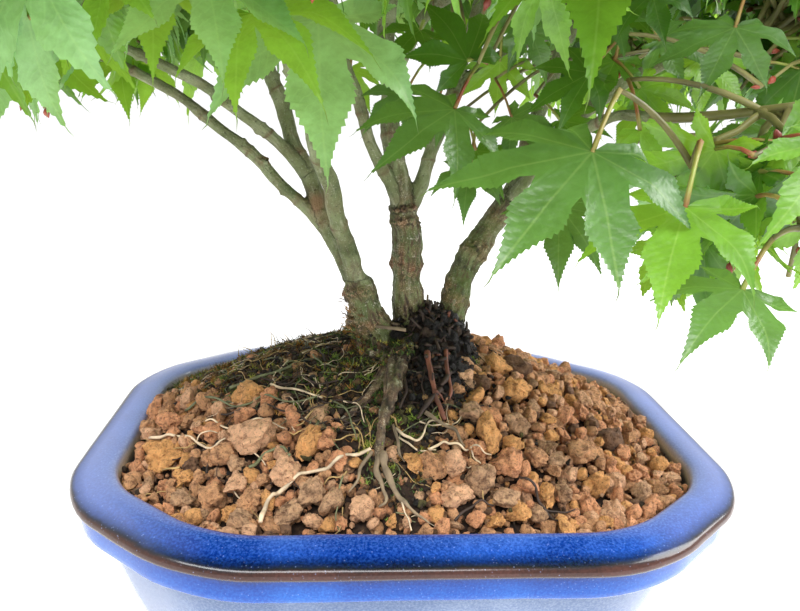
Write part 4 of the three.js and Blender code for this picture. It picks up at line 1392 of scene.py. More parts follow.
# rootlets and roots on the surface: pixels along each, width in pixels at its start and end, skin
rootlets = [
    ([(371, 449), (352, 458), (328, 470), (306, 477), (290, 484), (277, 495), (270, 505), (264, 516),
      (260, 527)], (3.4, 4.6), "cream"),
    ([(300, 479), (292, 478), (285, 474)], (2.2, 1.2), "cream"),
    ([(150, 440), (170, 438), (190, 440), (205, 448), (216, 446), (226, 442)], (3.4, 2), "cream"),
    ([(196, 443), (206, 440), (218, 436)], (1.8, 1.2), "cream"),
    ([(206, 427), (218, 427), (237, 433), (252, 428), (268, 423), (285, 428)], (2, 1.6), "cream"),
    ([(248, 473), (262, 458), (283, 452), (290, 462)], (3.4, 3), "green"),
    ([(185, 410), (210, 403), (240, 408), (262, 400), (290, 402), (318, 396)], (2.4, 2), "green"),
    ([(222, 418), (250, 415), (272, 410), (300, 417), (324, 412)], (2.2, 1.6), "dark"),
    ([(262, 378), (285, 384), (300, 376), (318, 384), (338, 380)], (2.4, 2), "dark"),
    ([(270, 384), (282, 388), (300, 390), (322, 398)], (3.2, 2), "cream"),
    ([(230, 388), (250, 380), (275, 372), (292, 366)], (3.6, 2.6), "green"),
    ([(298, 420), (318, 424), (340, 420), (362, 428)], (2, 1.5), "dark"),
    ([(330, 400), (345, 408), (352, 424), (356, 440)], (2, 1.6), "green"),
    ([(384, 452), (386, 470), (392, 486), (400, 500), (413, 510), (430, 525)], (9, 2.4), "bark"),
    ([(380, 455), (376, 472), (382, 488), (386, 500), (380, 512)], (7, 2), "bark"),
    ([(372, 452), (362, 466), (358, 480), (350, 492)], (5, 1.6), "bark"),
    ([(398, 494), (402, 508), (408, 520), (412, 530)], (2.2, 1.4), "cream"),
    ([(392, 425), (396, 438), (398, 450), (404, 462)], (4, 2), "bark"),
    ([(395, 428), (408, 436), (418, 440), (427, 425), (433, 421), (440, 422)], (3, 1.5), "cream"),
    ([(398, 437), (412, 446), (424, 454), (434, 457)], (2.6, 1.6), "cream"),
    ([(428, 450), (438, 446), (448, 448), (460, 452), (470, 452), (480, 453), (490, 455)], (2.6, 1.6),
     "cream"),
    ([(470, 452), (475, 462), (480, 472)], (2, 1.2), "cream"),
    ([(425, 412), (434, 418), (445, 425), (455, 436), (465, 447)], (5, 3), "bark"),
    ([(518, 478), (527, 487), (535, 495), (541, 505), (547, 515), (560, 527)], (3.4, 2.2), "dark"),
    ([(545, 512), (558, 512), (575, 515)], (2.4, 1.5), "dark"),
    ([(455, 520), (462, 513), (470, 508), (482, 505), (495, 504)], (3.4, 2), "dark"),
    ([(427, 352), (429, 368), (432, 385), (438, 402), (447, 420)], (7, 4), "rust"),
    ([(446, 350), (447, 366), (450, 384), (449, 400)], (5, 3), "rust"),
    ([(440, 388), (432, 398), (424, 408), (417, 418)], (6, 3.6), "dark"),
    ([(440, 385), (446, 378), (452, 372)], (5, 4), "dark"),
    ([(404, 345), (402, 368), (406, 388), (400, 408)], (4, 2.4), "dark"),
    ([(365, 395), (352, 402), (338, 400), (322, 408)], (3, 1.6), "dark"),
    ([(475, 345), (490, 352), (500, 362)], (2, 1.4), "dark"),
]


def layRootlet(pixels, widths, lift):
    # a surface line through pixels, with its radius at each place
    spots, depths = [], []
    for px, py in pixels:
        point, depth = onGround(px, py, lift)
        if point is not None:
            spots.append(point)
            depths.append(depth)
    path = smoothed(np.array(spots), 6)
    width = np.linspace(widths[0], widths[1], len(path))
    depth = np.interp(np.linspace(0, 1, len(path)), np.linspace(0, 1, len(depths)), depths)
    path[:, :2] += 0.6 * np.stack([lumps(path, 4, 61), lumps(path, 4, 62)], axis=1)
    radii = np.maximum(0.5 * width * depth / focal * (1 + 0.3 * lumps(path, 1.8, 63)), 0.16)
    # the line is draped over the grains that it would run into
    for i, (x, y, z) in enumerate(path):
        away = np.hypot(grainCentres[:, 0] - x, grainCentres[:, 1] - y)
        below = away < grainRadii
        if below.any():
            top = (grainCentres[below, 2] + 1.1 * np.sqrt(grainRadii[below] ** 2 - away[below] ** 2)).max()
            path[i, 2] = max(z, min(top + 0.3 * radii[i], z + 2.6))
    for _ in range(3):
        path[1:-1, 2] = (path[:-2, 2] + 2 * path[1:-1, 2] + path[2:, 2]) / 4
    return path, radii


# Living and dead root fibres: matt, from fresh cream through greened and barked ones to rotted dark brown
rootletSkins = {
    "cream": ("rootlet, cream", "#CDB799", 0.6),
    "green": ("rootlet, greened", "#696C4C", 0.7),
    "dark": ("rootlet, dark brown", "#35261D", 0.7),
    "rust": ("rootlet, red brown", "#6E4130", 0.6),
    "bark": ("rootlet, grey bark", "#7B6A54", 0.8),
    "straw": ("dry strand, straw", "#B0925E", 0.75),
}


def makeRootlets():
    names = list(rootletSkins)
    parts, choice = [], []

    def add(path, radii, skin, sides=6):
        parts.append(tube(path, radii, sides))
        choice.extend([names.index(skin)] * len(parts[-1][1]))

    def standing(x, y, sunk, lean, length, sway, count):
        # a bent line that stands out of the ground
        start = np.array([x, y, potHeight + surface(x, y) - sunk])
        end = start + unit(lean) * length
        middle = (start + end) / 2 + litterRandom.normal(size=3) * sway
        return bent(start, middle, end, np.linspace(0, 1, count))

    for pixels, widths, skin in rootlets:
        add(*layRootlet(pixels, widths, 0.9 + 0.3 * widths[0] / 3), skin, 7)
    for x, y in scatterOn(
        litter["fibres"], lambda x, y: 0.16 * (x < 15) + mossShare(x, y) + 0.3 * heapShare(x, y), 2
    ):
        heading = litterRandom.uniform(0, 2 * math.pi)
        path = wander(x, y, heading, litterRandom.uniform(*litter["fibreLength"]), 0.7)
        if len(path) < 4:
            continue
        radius = litterRandom.choice(litter["fibreRadii"], p=[0.4, 0.34, 0.18, 0.08])
        skin = litterRandom.choice(["cream", "green", "dark", "straw"], p=[0.16, 0.26, 0.4, 0.18])
        skin = "dark" if heapShare(x, y) > 0.15 else skin
        add(smoothed(path, 2), np.linspace(radius, radius * 0.6, 2 * len(path) - 1), skin, 4)
    # dried strands that stand up along the back left
    for _ in range(litter["grasses"]):
        x, y = litterRandom.uniform(-66, -16), litterRandom.uniform(14, 46)
        if fromMouth(x, y) > -4:
            continue
        lean = np.array([litterRandom.normal() * 1.1 - 0.3, litterRandom.normal() * 0.5, 0.55])
        path = standing(x, y, 0, lean, litterRandom.uniform(*litter["grassLength"]), 1.3, 6)
        skin = litterRandom.choice(["straw", "dark", "green"], p=[0.5, 0.35, 0.15])
        add(path, np.linspace(0.26, 0.1, 6), skin, 4)
    # broken bits of root stick out of the peat
    for x, y in scatterOn(litter["splinters"], lambda x, y: heapShare(x, y) ** 2, 2):
        lean = litterRandom.normal(size=3) * (1, 1, 0.5) + 0.5 * up
        path = standing(x, y, 0.6, lean, litterRandom.uniform(*litter["splinterLength"]), 0.5, 5)
        radius = litterRandom.uniform(*litter["splinterRadius"])
        skin = litterRandom.choice(["dark", "rust", "bark"], p=[0.78, 0.14, 0.08])
        add(path, radius * (1 + 0.3 * litterRandom.normal(size=5) / 2), skin, 5)
    # a dead stub lies across, just in front of the wood between the left and the middle stem
    px, py, depth = pixelOf(pointsOf(woodSkin))
    front = depth[(np.abs(px - 382) < 6) & (np.abs(py - 328) < 4)].min() - 1.2
    stub = [pointAt(pixel, front) for pixel in ((376, 326), (391, 328), (406, 330))]
    radii = np.linspace(0.72, 0.6, 9) * (1 + 0.15 * lumps(np.arange(9)[:, None] * 2.3, 3))
    add(smoothed(np.array(stub), 4), radii, "bark", 8)
    skins = [makePlain(*skin) for skin in rootletSkins.values()]
    web = meshObject("rootlets", *joinParts(parts), skins, choice)
    place(web, "root", "old_bark")
    print("rootlets", len(web.data.polygons), "faces")


makeCrumbs()
makeMoss()
makeRootlets()


# Leaves: palmate blades with toothed lobes, each folded along its ribs and drooping to its tips

leaf = {
    "sevenLobed": 0.7,  # chance of seven lobes in place of five
    "sinus": 0.39,
    "foot": (24, 0.09),  # turn from the outer lobes and reach of the blade's edge beside the stalk
    "lobeEnd": 0.95,
    "thread": 0.004,
    "fold": 0.3,
    "droop": 0.3,
    "widest": (0.15, 0.182),  # half width of a lobe, on leaves of seven lobes and of five
    "widestAt": 0.28,
    "taper": 1.35,
    "toothDepth": 0.045,
    "toothSlant": 0.75,
    "stations": (7, 15, 29),  # of plain blades, of near blades and of the single ones
    "variants": 8,
    "seed": 29,
}
# lobe turns in degrees and lengths, for a leaf of seven lobes and one of five
lobeSets = [
    [(-128, 0.36), (-84, 0.66), (-41, 0.9), (0, 1.0), (41, 0.9), (84, 0.66), (128, 0.36)],
    [(-106, 0.5), (-52, 0.84), (0, 1.0), (52, 0.84), (106, 0.5)],
]


def lobeWidth(share):
    # half width along a lobe: broad above its foot, then drawn out to a long point
    if share < leaf["widestAt"]:
        return 0.84 + 0.16 * math.sin(math.pi / 2 * share / leaf["widestAt"])
    return (1 - (share - leaf["widestAt"]) / (1 - leaf["widestAt"])) ** leaf["taper"]


def leafShape(random, stations):
    # points in shares of the mid-lobe's length: x across, y ahead, z up; with rib and vein values
    many = random.uniform() < leaf["sevenLobed"]
    bendAll = random.uniform(0.6, 1.4)
    points, ribs, veins, ends = [(0.0, 0.0, 0.0)], [0.0], [0.2], [0.0]
    faces = []

    def add(x, y, rib, vein, lift, end=0.0):
        far = math.hypot(x, y)
        points.append((x, y, lift - leaf["droop"] * bendAll * far ** 2.2))
        ribs.append(rib)
        veins.append(vein)
        ends.append(end)
        return len(points) - 1

    def addAt(spot, rib, vein, lift, end=0.0):
        return add(spot[0], spot[1], rib, vein, lift, end)

    lobes = [
        (turn + random.uniform(-5, 5), reach * random.uniform(0.92, 1.06))
        for turn, reach in lobeSets[0 if many else 1]
    ]
    footTurn, footReach = leaf["foot"]
    notches = [(lobes[0][0] - footTurn, footReach)]
    for (turn, reach), (nextTurn, nextReach) in zip(lobes, lobes[1:]):
        depth = leaf["sinus"] * min(reach, nextReach) ** 0.8 * random.uniform(0.88, 1.12)
        notches.append(((turn + nextTurn) / 2, depth))
    notches.append((lobes[-1][0] + footTurn, footReach))
    sinuses = [
        add(math.sin(math.radians(turn)) * depth, math.cos(math.radians(turn)) * depth, 0.12, depth, 0.035)
        for turn, depth in notches
    ]
    for i, (turn, reach) in enumerate(lobes):
        a = math.radians(turn)
        bow = random.uniform(-0.09, 0.09)
        ahead = np.array([math.sin(a), math.cos(a)])
        aside = np.array([math.cos(a), -math.sin(a)])
        widest = leaf["widest"][0 if many else 1] * reach ** 0.6 * random.uniform(0.9, 1.1)
        hang = random.uniform(-0.06, 0.16)
        start = 1.14 * max(notches[i][1], notches[i + 1][1])
        gap = leaf["lobeEnd"] * (reach - start) / (stations - 1)
        ribLine, sideLines = [0], {-1: [sinuses[i]], 1: [sinuses[i + 1]]}
        for j in range(stations):
            share = leaf["lobeEnd"] * j / (stations - 1)
            way = start + (reach - start) * share
            width = widest * lobeWidth(share)
            base = ahead * way + aside * (bow * share ** 2 * reach)
            sag = -hang * share ** 2
            ribLine.append(addAt(base, 0.0, way, sag - 0.004))
            tooth = j % 2 == 1
            for hand in (-1, 1):
                bite = random.uniform(0.2, 1.4)
                out = width * (1 + leaf["toothDepth"] * bite) + 0.005 * bite if tooth else width * 0.97
                spot = base + hand * aside * out + ahead * (leaf["toothSlant"] * gap if tooth else 0.0)
                side = addAt(spot, out, way - 0.9 * out, sag + leaf["fold"] * width)
                sideLines[hand].append(side)
        end = ahead * reach + aside * bow * reach
        if stations > leaf["stations"][0]:
            # the point is drawn out to a withered thread
            ribLine.append(addAt(end, 0.0, reach, -hang - 0.02, 0.7))
            for hand in (-1, 1):
                spot = end + hand * leaf["thread"] * aside
                sideLines[hand].append(addAt(spot, leaf["thread"], reach, -hang - 0.02, 0.7))
            end = end * 1.045 + 0.02 * aside
        tip = addAt(end, 0.0, reach, -hang - 0.05, 1.0)
        for hand, line in sideLines.items():
            ring = [
                (ribLine[j], line[j], line[j + 1], ribLine[j + 1]) for j in range(len(ribLine) - 1)
            ] + [(ribLine[-1], line[-1], tip)]
            faces += ring if hand > 0 else [face[::-1] for face in ring]
    points = np.array(points)
    points[:, 2] += 0.025 * lumps(points, 0.3, random.randint(1, 999))
    return points, faces, np.array(ribs), np.array(veins), np.array(ends)


leafRandom = np.random.RandomState(leaf["seed"])
leafShapes = [
    leafShape(leafRandom, stations) for stations in leaf["stations"] for _ in range(leaf["variants"])
]


def makeLeafMaterial(name, code, backlit):
    # Living maple leaf: satin upper skin with pale ribs, letting yellower light through
    material, add, where = startMaterial(f"maple leaf, {name}")
    rib, vein, withered = (add("Attribute", out="Fac", attribute_name=key) for key in ("rib", "vein", "end"))
    soft = add("TexNoise", {"Vector": where, "Scale": 170, "Detail": 6, "Roughness": 0.7})
    base = baseOf(code)
    light = np.minimum(base * (1.4, 1.28, 1.4), 1)
    stripes = add("Math", {0: vein, 1: 95.0}, operation="MULTIPLY")
    stripes = add("Math", {0: stripes}, operation="SINE")
    tone = overlay(add, colour(base * (0.52, 0.58, 0.55)), [
        (light, (soft, 0.32, 0.68)),
        (light, (stripes, 0.8, 1.0, 0.3)),
        (0.55 * light + 0.45 * baseOf("#C9DD8A"), (rib, 0.01, 0.002, 0.32)),
        ("#3E3020", withered),
    ])
    pucker = add("TexNoise", {"Vector": where, "Scale": 420, "Detail": 2})
    height = add("Math", {0: stripes, 1: 0.06, 2: pucker}, operation="MULTIPLY_ADD")
    skin = add("BsdfPrincipled", {
        "Base Color": tone, "Roughness": 0.36, "Specular IOR Level": 0.7,
        "Normal": add("Bump", {"Height": height, "Strength": 0.3, "Distance": 0.001}),
    })
    glow = add("BsdfTranslucent", {"Color": colour(backlit)})
    add("OutputMaterial", {"Surface": add("MixShader", {0: 0.42, 1: skin, 2: glow})})
    return material


leafMaterials = [makeLeafMaterial(*tone) for tone in [
    ("spring green", "#5A922A", "#98C232"),
    ("bright green", "#7CB43E", "#A8D23E"),
    ("deep green", "#33621A", "#6C9C24"),
    ("mid green", "#446E34", "#76A23A"),
    ("pale mint green", "#88BE78", "#B0D870"),
]]


# Crown: the source's masses and rule, carried on to finer twigs

# name, its bough, centre, half sizes and seed
masses = [
    ("left_low", "bough_left_low", (-120, 30, 130), (44, 44, 38), 11),
    ("left_outer", "bough_left_outer", (-112, -42, 146), (50, 50, 44), 23),
    ("left_back", "bough_left_back", (-76, 82, 160), (52, 54, 48), 37),
    ("left_front", "bough_left_front", (-52, -86, 142), (50, 50, 48), 41),
    ("top_left", "bough_centre_left", (-58, -8, 200), (56, 58, 50), 59),
    ("top", "bough_centre_top", (2, 4, 240), (62, 62, 52), 67),
    ("back", "bough_centre_back", (10, 90, 178), (52, 50, 50), 73),
    ("front", "bough_front", (10, -76, 142), (48, 54, 56), 89),
    ("right", "bough_right_outer", (118, -10, 138), (46, 54, 46), 97),
    ("top_right", "bough_right_top", (62, 4, 204), (56, 58, 50), 101),
    ("right_front", "bough_right_front", (70, -66, 110), (50, 54, 56), 113),
    ("right_back", "bough_right_back", (88, 74, 150), (52, 54, 50), 127),
]
crown = {
    "halfX": 157,
    "halfY": 135,
    "top": 288,
    "spaceReach": 1.2,
    "overlap": 5,
    "twigs": 22,
    "twigReach": (0.55, 1.02),
    "shortest": 8,
    "bareFoot": 0.3,  # share of a twig without leaves
    "nodeStep": 11,
    "leafLength": (19, 29),
    "stalk": (9, 16),
    "leafRoom": 7.5,
    "leafClear": 1.2,
    "twigClear": 0.8,
    "twigRadius": 0.95,
    "stalkRadius": 0.42,
    "ownTone": 0.75,  # share of a twig's leaves that have its tone
    "sideTwigs": 0.55,  # chance of a side twig in place of a leaf
    "sideReach": (16, 32),
    "leafChance": 0.88,
    "nearest": 92,
    "fineWithin": 260,
    "goldenAngle": math.pi * (3 - math.sqrt(5)),
    "mostTriangles": 190000,
    "portraitRoom": (0.55, 25),  # kept free of others: share of a single leaf's length, depth past its tip
    "portraitStalk": (9, 7, 6),  # how far its stalk goes back, up and away from the camera
}

# the crown's lower edge in the photo's frame: leaves stay above it
crownEdge = np.array([
    (-400, 150), (40, 140), (95, 112), (110, 100), (125, 112), (150, 128), (165, 105), (185, 95),
    (200, 88), (230, 100), (262, 118), (290, 140), (305, 170), (320, 200), (335, 185), (345, 150),
    (362, 160), (375, 185), (400, 192), (425, 185), (440, 200), (458, 232), (475, 225), (490, 270),
    (497, 298), (515, 270), (535, 285), (545, 296), (560, 262), (575, 285), (590, 262), (620, 240),
    (640, 320), (652, 337), (665, 372), (705, 330), (760, 320), (1200, 300),
], float)

# places where the photo shows sky through the crown: pixel, half width and half height
skyWindows = [
    (690, 14, 12, 10), (672, 68, 12, 8), (528, 68, 12, 9), (694, 118, 9, 20), (476, 98, 8, 10),
    (449, 18, 10, 8), (507, 142, 7, 7), (358, 130, 10, 26), (132, 112, 8, 12), (560, 52, 8, 7),
    (370, 30, 8, 14),
]

# single leaves seen large in the photo: palm pixel and depth, tip pixel and depth, tone
portraitLeaves = [
    ((592, 153), 114, (490, 297), 106, 3),
    ((685, 208), 116, (650, 335), 106, 0),
    ((600, -70), 112, (597, 118), 104, 0),
    ((742, 290), 118, (664, 372), 112, 3),
    ((560, 208), 190, (551, 297), 182, 3),
    ((455, 108), 150, (372, 192), 142, 3),
    ((468, 60), 165, (420, 0), 172, 2),
    ((250, 10), 120, (345, 118), 112, 1),
    ((205, -30), 112, (232, 98), 104, 4),
    ((318, 20), 135, (322, 198), 128, 4),
    ((150, -20), 130, (160, 96), 124, 1),
    ((470, 168), 190, (458, 232), 186, 3),
    ((590, 74), 170, (520, 116), 176, 2),
    ((640, 88), 180, (702, 112), 178, 0),
    ((640, 130), 150, (664, 178), 146, 1),
    ((438, 100), 215, (404, 150), 212, 3),
    ((500, 62), 215, (497, 120), 212, 0),
    ((486, 40), 220, (535, 12), 222, 2),
    ((530, 30), 210, (550, 92), 208, 3),
    ((420, 30), 200, (382, 76), 196, 2),
    ((512, 118), 205, (552, 166), 203, 3),
    ((560, 120), 200, (618, 138), 198, 2),
    ((615, 60), 190, (592, 122), 188, 2),
    ((660, 40), 185, (722, 74), 182, 3),
    ((700, 60), 190, (748, 108), 188, 0),
    ((640, 110), 185, (662, 165), 182, 0),
    ((476, 150), 205, (508, 205), 203, 2),
    ((405, 95), 195, (356, 138), 192, 3),
    ((350, 70), 215, (340, 125), 213, 0),
    ((150, 62), 215, (146, 120), 213, 1),
    ((120, 60), 210, (128, 128), 208, 0),
    ((575, 170), 215, (585, 225), 212, 3),
    ((735, 28), 155, (700, 108), 151, 3),
    ((652, -6), 155, (664, 54), 152, 2),
    ((612, 10), 165, (628, 66), 162, 3),
]
portraitZones = []  # where they keep other leaves away: middle and reach in pixels, depth

centres = np.array([at(*mass[2]) for mass in masses])
halves = np.array([mass[3] for mass in masses], float)
meanHalves = halves.mean(axis=1)


def crownFloor(x, y):
    def dip(x0, y0, halfX, halfY):
        return np.exp(-((x - x0) / halfX) ** 2 - ((y - y0) / halfY) ** 2)

    return 98 - 42 * dip(62, -60, 44, 46) - 20 * dip(-4, -70, 40, 40)


def inSpace(index, points):
    # whether all points are in the mass's own space, as in the source
    points = np.atleast_2d(points)
    away = points - centres[index]
    if (((away / halves[index]) ** 2).sum(axis=1) > crown["spaceReach"] ** 2).any():
        return False
    if (np.abs(points[:, 0]) > crown["halfX"]).any() or (np.abs(points[:, 1]) > crown["halfY"]).any():
        return False
    h = points[:, 2] - potHeight
    if (h > crown["top"]).any() or (h < crownFloor(points[:, 0], points[:, 1])).any():
        return False
    for other in range(len(masses)):
        if other == index:
            continue
        between = centres[other] - centres[index]
        distance = np.linalg.norm(between)
        share = 0.5 + (meanHalves[index] ** 2 - meanHalves[other] ** 2) / (2 * distance ** 2)
        if (away @ between / distance > share * distance + crown["overlap"]).any():
            return False
    return True


def inPicture(points):
    # whether the points keep above the crown's edge in the picture, and out of the camera's way
    px, py, depth = pixelOf(points)
    ahead = depth > 5
    seen = ahead & (px > -60) & (px < view["width"] + 60) & (py > -60)
    if (seen & (depth < crown["nearest"])).any():
        return False
    edge = np.interp(px, crownEdge[:, 0], crownEdge[:, 1])
    if (ahead & (py > edge)).any():
        return False
    for x, y, halfX, halfY in skyWindows:
        if (ahead & ((px - x) ** 2 / halfX ** 2 + (py - y) ** 2 / halfY ** 2 < 1)).any():
            return False
    for x, y, reach, limit in portraitZones:
        if (ahead & (np.hypot(px - x, py - y) < reach) & (depth < limit)).any():
            return False
    return True


woodTree, woodSamples = sampleLines()


def clearOfWood(points, room):
    for point in points:
        _, index, distance = woodTree.find(Vector(point))
        if distance < woodSamples[index][2] + room:
            return False
    return True


leafPlaces = []  # shape, palm, frame, length, tone
twigParts, stalkParts, shootPaths = [], [], []
takenPalms = {}


def roomFor(palm):
    # keeps palms apart, with a coarse grid
    size = crown["leafRoom"]
    cell = tuple(np.floor(palm / size).astype(int))
    for step in itertools.product((-1, 0, 1), repeat=3):
        for other in takenPalms.get(tuple(np.add(cell, step)), []):
            if np.linalg.norm(other - palm) < size:
                return False
    takenPalms.setdefault(cell, []).append(palm)
    return True


def shapeFor(palm, chance):
    # finely toothed blades where the camera comes near, plainer ones elsewhere
    px, py, depth = pixelOf(palm)
    near = -100 < px < view["width"] + 100 and py > -100 and 0 < depth < crown["fineWithin"]
    return int(chance * leaf["variants"]) + near * leaf["variants"]


def addStalk(start, end, radius=crown["stalkRadius"]):
    radii = [radius * share for share in (1.3, 1, 0.9, 1.1)]
    stalkParts.append(tube(arched(start, end, 0.12, 4), radii, 4))


def addLeaf(shape, palm, axis, normal, length, tone):
    side = unit(np.cross(axis, normal))
    leafPlaces.append((shape, palm, np.array([side, axis, np.cross(side, axis)]), length, tone))


def tryLeaf(index, node, away, outward, length, stalkLength, tone, random):
    # a leaf on its stalk; it turns and lifts until it has room, or is left out
    normal = unit(up + 0.75 * outward + 0.25 * np.array([random() - 0.5 for _ in range(3)]))
    for turn in (0, 0.5, -0.5, 1.0, -1.0):
        c, s = math.cos(turn), math.sin(turn)
        turned = np.array([c * away[0] - s * away[1], s * away[0] + c * away[1], away[2]])
        palm = node + turned * stalkLength
        axis = unit(turned + 0.3 * outward - (0.55 + 0.5 * random()) * up)
        axis = unit(axis - 0.35 * (axis @ normal) * normal)
        side = unit(np.cross(axis, normal))
        probes = palm + length * np.array([
            0 * axis, axis, 0.9 * (0.7 * axis + 0.65 * side), 0.9 * (0.7 * axis - 0.65 * side), 0.5 * axis,
        ])
        clear = inSpace(index, probes) and inPicture(probes)
        if not clear or not clearOfWood(probes, crown["leafClear"]):
            continue
        if not roomFor(palm):
            continue
        addStalk(node, palm)
        addLeaf(shapeFor(palm, random()), palm, axis, normal, length, tone)
        return True
    return False


def growTwig(index, foot, tip, outward, radius, random, level):
    # a twig with pairs of leaves at its nodes, an end leaf, and side twigs at some nodes
    length = np.linalg.norm(tip - foot)
    if length < crown["shortest"]:
        return False
    path = arched(foot, tip, 0.1 + 0.08 * random(), 7)
    path[1:-1] += np.array([[random() - 0.5 for _ in range(3)] for _ in range(5)]) * 1.6
    if not clearOfWood(path[2:], crown["twigClear"]) or not inPicture(path):
        return False
    tone = int(random() * len(leafMaterials))
    nodes = max(2, round(length / crown["nodeStep"]))
    grown = 0
    ahead = unit(np.gradient(path, axis=0))
    for n in range(nodes, 0, -1):
        share = n / nodes
        if share < crown["bareFoot"]:
            break
        node, before = alongPath(path, share)
        along = ahead[before]
        sideways = unit(np.cross(along, up))
        leafTone = tone if random() < crown["ownTone"] else int(random() * len(leafMaterials))
        size, stalk = (low + (high - low) * random() for low, high in (crown["leafLength"], crown["stalk"]))
        if n == nodes:
            away = unit(along + 0.3 * outward)
            grown += tryLeaf(index, node, away, outward, size, stalk * 0.6, leafTone, random)
        for hand in (-1, 1):
            size *= 0.92 + 0.12 * random()
            away = unit(0.5 * along + hand * sideways + 0.15 * up)
            if level and crown["bareFoot"] < share < 0.9 and random() < crown["sideTwigs"]:
                short, long = crown["sideReach"]
                reach = (short + (long - short) * random()) * (1.1 - 0.4 * share)
                sideTip = node + unit(0.8 * along + hand * sideways + 0.1 * up) * reach
                inside = inSpace(index, sideTip)
                if inside and growTwig(index, node, sideTip, outward, radius * 0.7, random, 0):
                    grown += 1
                    continue
            if random() < crown["leafChance"]:
                grown += tryLeaf(index, node, away, outward, size, stalk, leafTone, random)
    if grown:
        radii = np.linspace(radius, 0.45 * radius + 0.15, 7)
        radii[3] *= 1.15
        twigParts.append(tube(path, radii, 6))
        shootPaths.append(path)
    return grown > 0


def growMass(index):
    _, bough, _, _, seed = masses[index]
    random = seeded(seed).__next__
    stemRadius = next(ends[1] for name, _, _, _, ends in limbs if name == bough)
    route = routes[bough]
    foot = route[-1]
    heading = unit(foot - route[-2])
    centre = centres[index]
    bend = foot + heading * np.linalg.norm(foot - centre) * 0.4
    end = centre + 0.12 * (centre - foot)
    stemPath = np.vstack([foot - heading * 1.5, bent(foot, bend, end, np.linspace(0, 1, 12))])
    twigParts.append(tube(stemPath, np.linspace(stemRadius, 1.0, 13), 8))
    count = crown["twigs"]
    low, high = crown["twigReach"]
    for k in range(count):
        turn = k * crown["goldenAngle"] + seed
        rise = 1 - 2 * (k + 0.5) / count
        ringSize = math.sqrt(1 - rise * rise)
        outward = np.array([ringSize * math.cos(turn), ringSize * math.sin(turn), rise])
        spread = outward * halves[index]
        start = bent(foot, bend, end, 0.25 + 0.75 * (k + 0.5) / count)
        reach = low + (high - low) * random()
        for share in (1, 0.85, 0.7, 0.55):
            tip = centre + spread * reach * share
            inside = inSpace(index, tip)
            if inside and growTwig(index, start, tip, outward, crown["twigRadius"], random, 1):
                break


portraitStarts = []
for palmPixel, palmDepth, tipPixel, tipDepth, tone in portraitLeaves:
    # a leaf that would touch a bough comes nearer until it is clear of it
    for nearer in range(0, 80, 4):
        palm = pointAt(palmPixel, palmDepth - nearer)
        tip = pointAt(tipPixel, tipDepth - nearer)
        if clearOfWood([palm, (palm + tip) / 2, tip], 3):
            break
    axis = unit(tip - palm)
    toEye = unit(eye - palm)
    normal = unit(toEye + 0.75 * up)
    normal = unit(normal - (normal @ axis) * axis)
    shape = 2 * leaf["variants"] + len(portraitStarts) % leaf["variants"]
    # the blade is tipped so that its drooping mid lobe ends at the tip's pixel
    blade = leafShapes[shape][0]
    _, ahead, below = blade[blade[:, 1].argmax()]
    tipped = math.atan2(below, ahead)
    length = np.linalg.norm(tip - palm) / math.hypot(ahead, below)
    axis, normal = (
        math.cos(tipped) * axis - math.sin(tipped) * normal,
        math.sin(tipped) * axis + math.cos(tipped) * normal,
    )
    addLeaf(shape, palm, axis, normal, length, tone)
    back, rise, off = crown["portraitStalk"]
    start = palm - back * axis + rise * up - off * toEye
    addStalk(start, palm, 0.5)
    portraitStarts.append(start)
    roomFor(palm)
    middle = (np.array(palmPixel) + tipPixel) / 2
    room, behind = crown["portraitRoom"]
    reach = room * np.hypot(*np.subtract(palmPixel, tipPixel))
    if palmDepth < 200:
        portraitZones.append((*middle, reach, tipDepth + behind))

for massIndex, mass in enumerate(masses):
    startCount = len(leafPlaces)
    growMass(massIndex)
    print(mass[0], len(leafPlaces) - startCount, "leaves")

# each single leaf's stalk gets a twig that leaves the nearest shoot behind it
for start in portraitStarts:
    ends = [path for path in shootPaths if path[-1] @ viewAhead > start @ viewAhead - 5]
    gaps = [np.linalg.norm(path - start, axis=1).min() for path in ends]
    path = ends[int(np.argmin(gaps))]
    foot = path[np.linalg.norm(path - start, axis=1).argmin()]
    twigParts.append(tube(arched(foot, start, 0.15, 8), np.linspace(0.8, 0.5, 8), 6))
print("leaves:", len(leafPlaces), "twigs:", len(twigParts))


def joinLeaves(name, chosen):
    parts, choice = [], []
    values = {"rib": [], "vein": [], "end": []}
    for shape, palm, turned, length, tone in chosen:
        blade, bladeFaces, *shares = leafShapes[shape]
        parts.append((palm + length * (blade @ turned), bladeFaces))
        choice += [tone] * len(bladeFaces)
        for kept, share in zip(values.values(), shares):
            kept.append(share)
    obj = meshObject(name, *joinParts(parts), leafMaterials, choice)
    for key, kept in values.items():
        setAttribute(obj, key, np.concatenate(kept))
    return obj


foliageNodes = [f"foliage_{mass[0]}" for mass in masses]
leafPieces = [[]]
triangles = 0
for item in leafPlaces:
    count = sum(len(face) - 2 for face in leafShapes[item[0]][1])
    if triangles + count > crown["mostTriangles"]:
        leafPieces.append([])
        triangles = 0
    leafPieces[-1].append(item)
    triangles += count
for number, chosen in enumerate(leafPieces):
    blades = joinLeaves(f"leaves_{number + 1}", chosen)
    place(blades, "root", "green_leaves", *(foliageNodes if number == 0 else ()))
    print(blades.name, len(chosen), "leaves", len(blades.data.polygons), "faces")

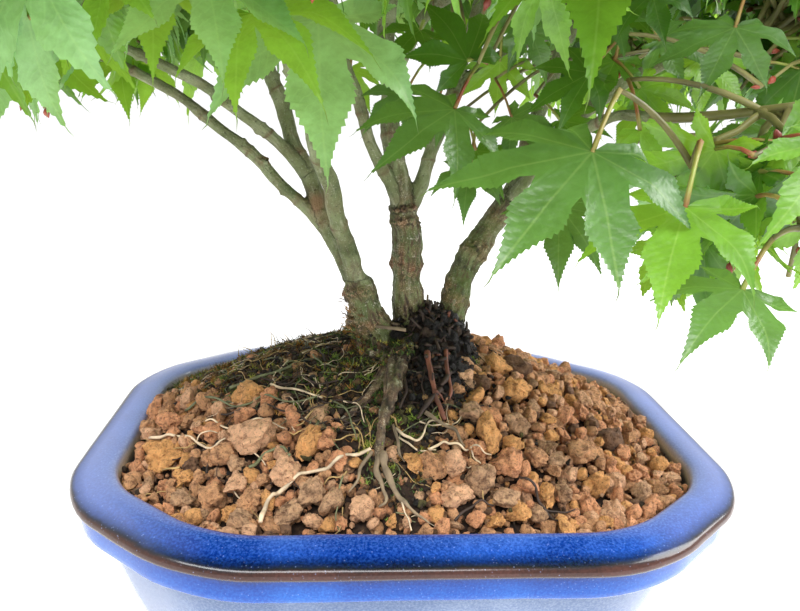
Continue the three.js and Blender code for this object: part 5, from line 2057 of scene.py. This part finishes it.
# buds at some of the shoots' nodes
budParts = []
budRandom = np.random.RandomState(leaf["seed"] + 1)
for path in shootPaths:
    for spot in budRandom.choice(np.arange(2, 7), 2, replace=False):
        heading = unit(unit(path[spot] - path[spot - 1]) + 0.7 * budRandom.normal(size=3))
        swelling = np.array([0.25, 0.75, 0.8, 0.45, 0.05]) * budRandom.uniform(0.8, 1.3)
        budPath = path[spot] + heading * np.linspace(0.2, 3.2, 5)[:, None]
        budParts.append(tube(budPath, swelling, 5))
for name, parts, skin, low, high in [
    ("buds", budParts, "maple bud, red brown", "#6E2A20", "#A8503C"),
    ("twigs", twigParts, "maple shoot, green brown", "#5E5A34", "#8A8450"),
    ("leaf_stalks", stalkParts, "leaf stalk, reddish green", "#8F4A32", "#93A24C"),
]:
    # Thin young shoots, stalks and buds: smooth, faintly waxy
    skin = makeMatt(skin, [(0.35, low), (0.65, high)], 0.5, 90)
    shoots = meshObject(name, *joinParts(parts), [skin])
    place(shoots, "root", "young_bark")
    print(name, len(shoots.data.polygons), "faces")


# Studio

studio = {
    "floorSize": 30.0,
    "worldStrength": 1.1,
    # soft lamps: place, what it is aimed at, size and power
    "key": ((-0.3, -0.75, 1.05), (0, 0, 0.08), (1.3, 0.3), 20.0),
    "fill": ((0.9, -0.1, 0.7), (0, 0, 0.1), (0.6, 0.6), 13.0),
}


def makeStudio():
    deselectAll()
    bpy.ops.mesh.primitive_plane_add(size=studio["floorSize"])
    floor = bpy.context.object
    floor.name = floor.data.name = "floor"
    material, add, _ = startMaterial("studio floor, matt white")
    finishMaterial(material, add, {"Base Color": colour("#FCFCFC"), "Roughness": 0.9})
    floor.data.materials.append(material)
    world = bpy.data.worlds.new("studio")
    world.use_nodes = True
    background = world.node_tree.nodes["Background"]
    background.inputs["Color"].default_value = colour("#FFFFFF")
    background.inputs["Strength"].default_value = studio["worldStrength"]
    bpy.context.scene.world = world
    for name in ("key", "fill"):
        location, target, size, power = studio[name]
        data = bpy.data.lights.new(name, "AREA")
        data.shape = "RECTANGLE"
        data.size, data.size_y = size
        data.energy = power
        lamp = bpy.data.objects.new(name, data)
        lamp.location = location
        lamp.rotation_euler = (Vector(target) - Vector(location)).to_track_quat("-Z", "Y").to_euler()
        bpy.context.scene.collection.objects.link(lamp)


makeStudio()
bpy.context.scene.view_settings.view_transform = "Standard"
print("studio made")
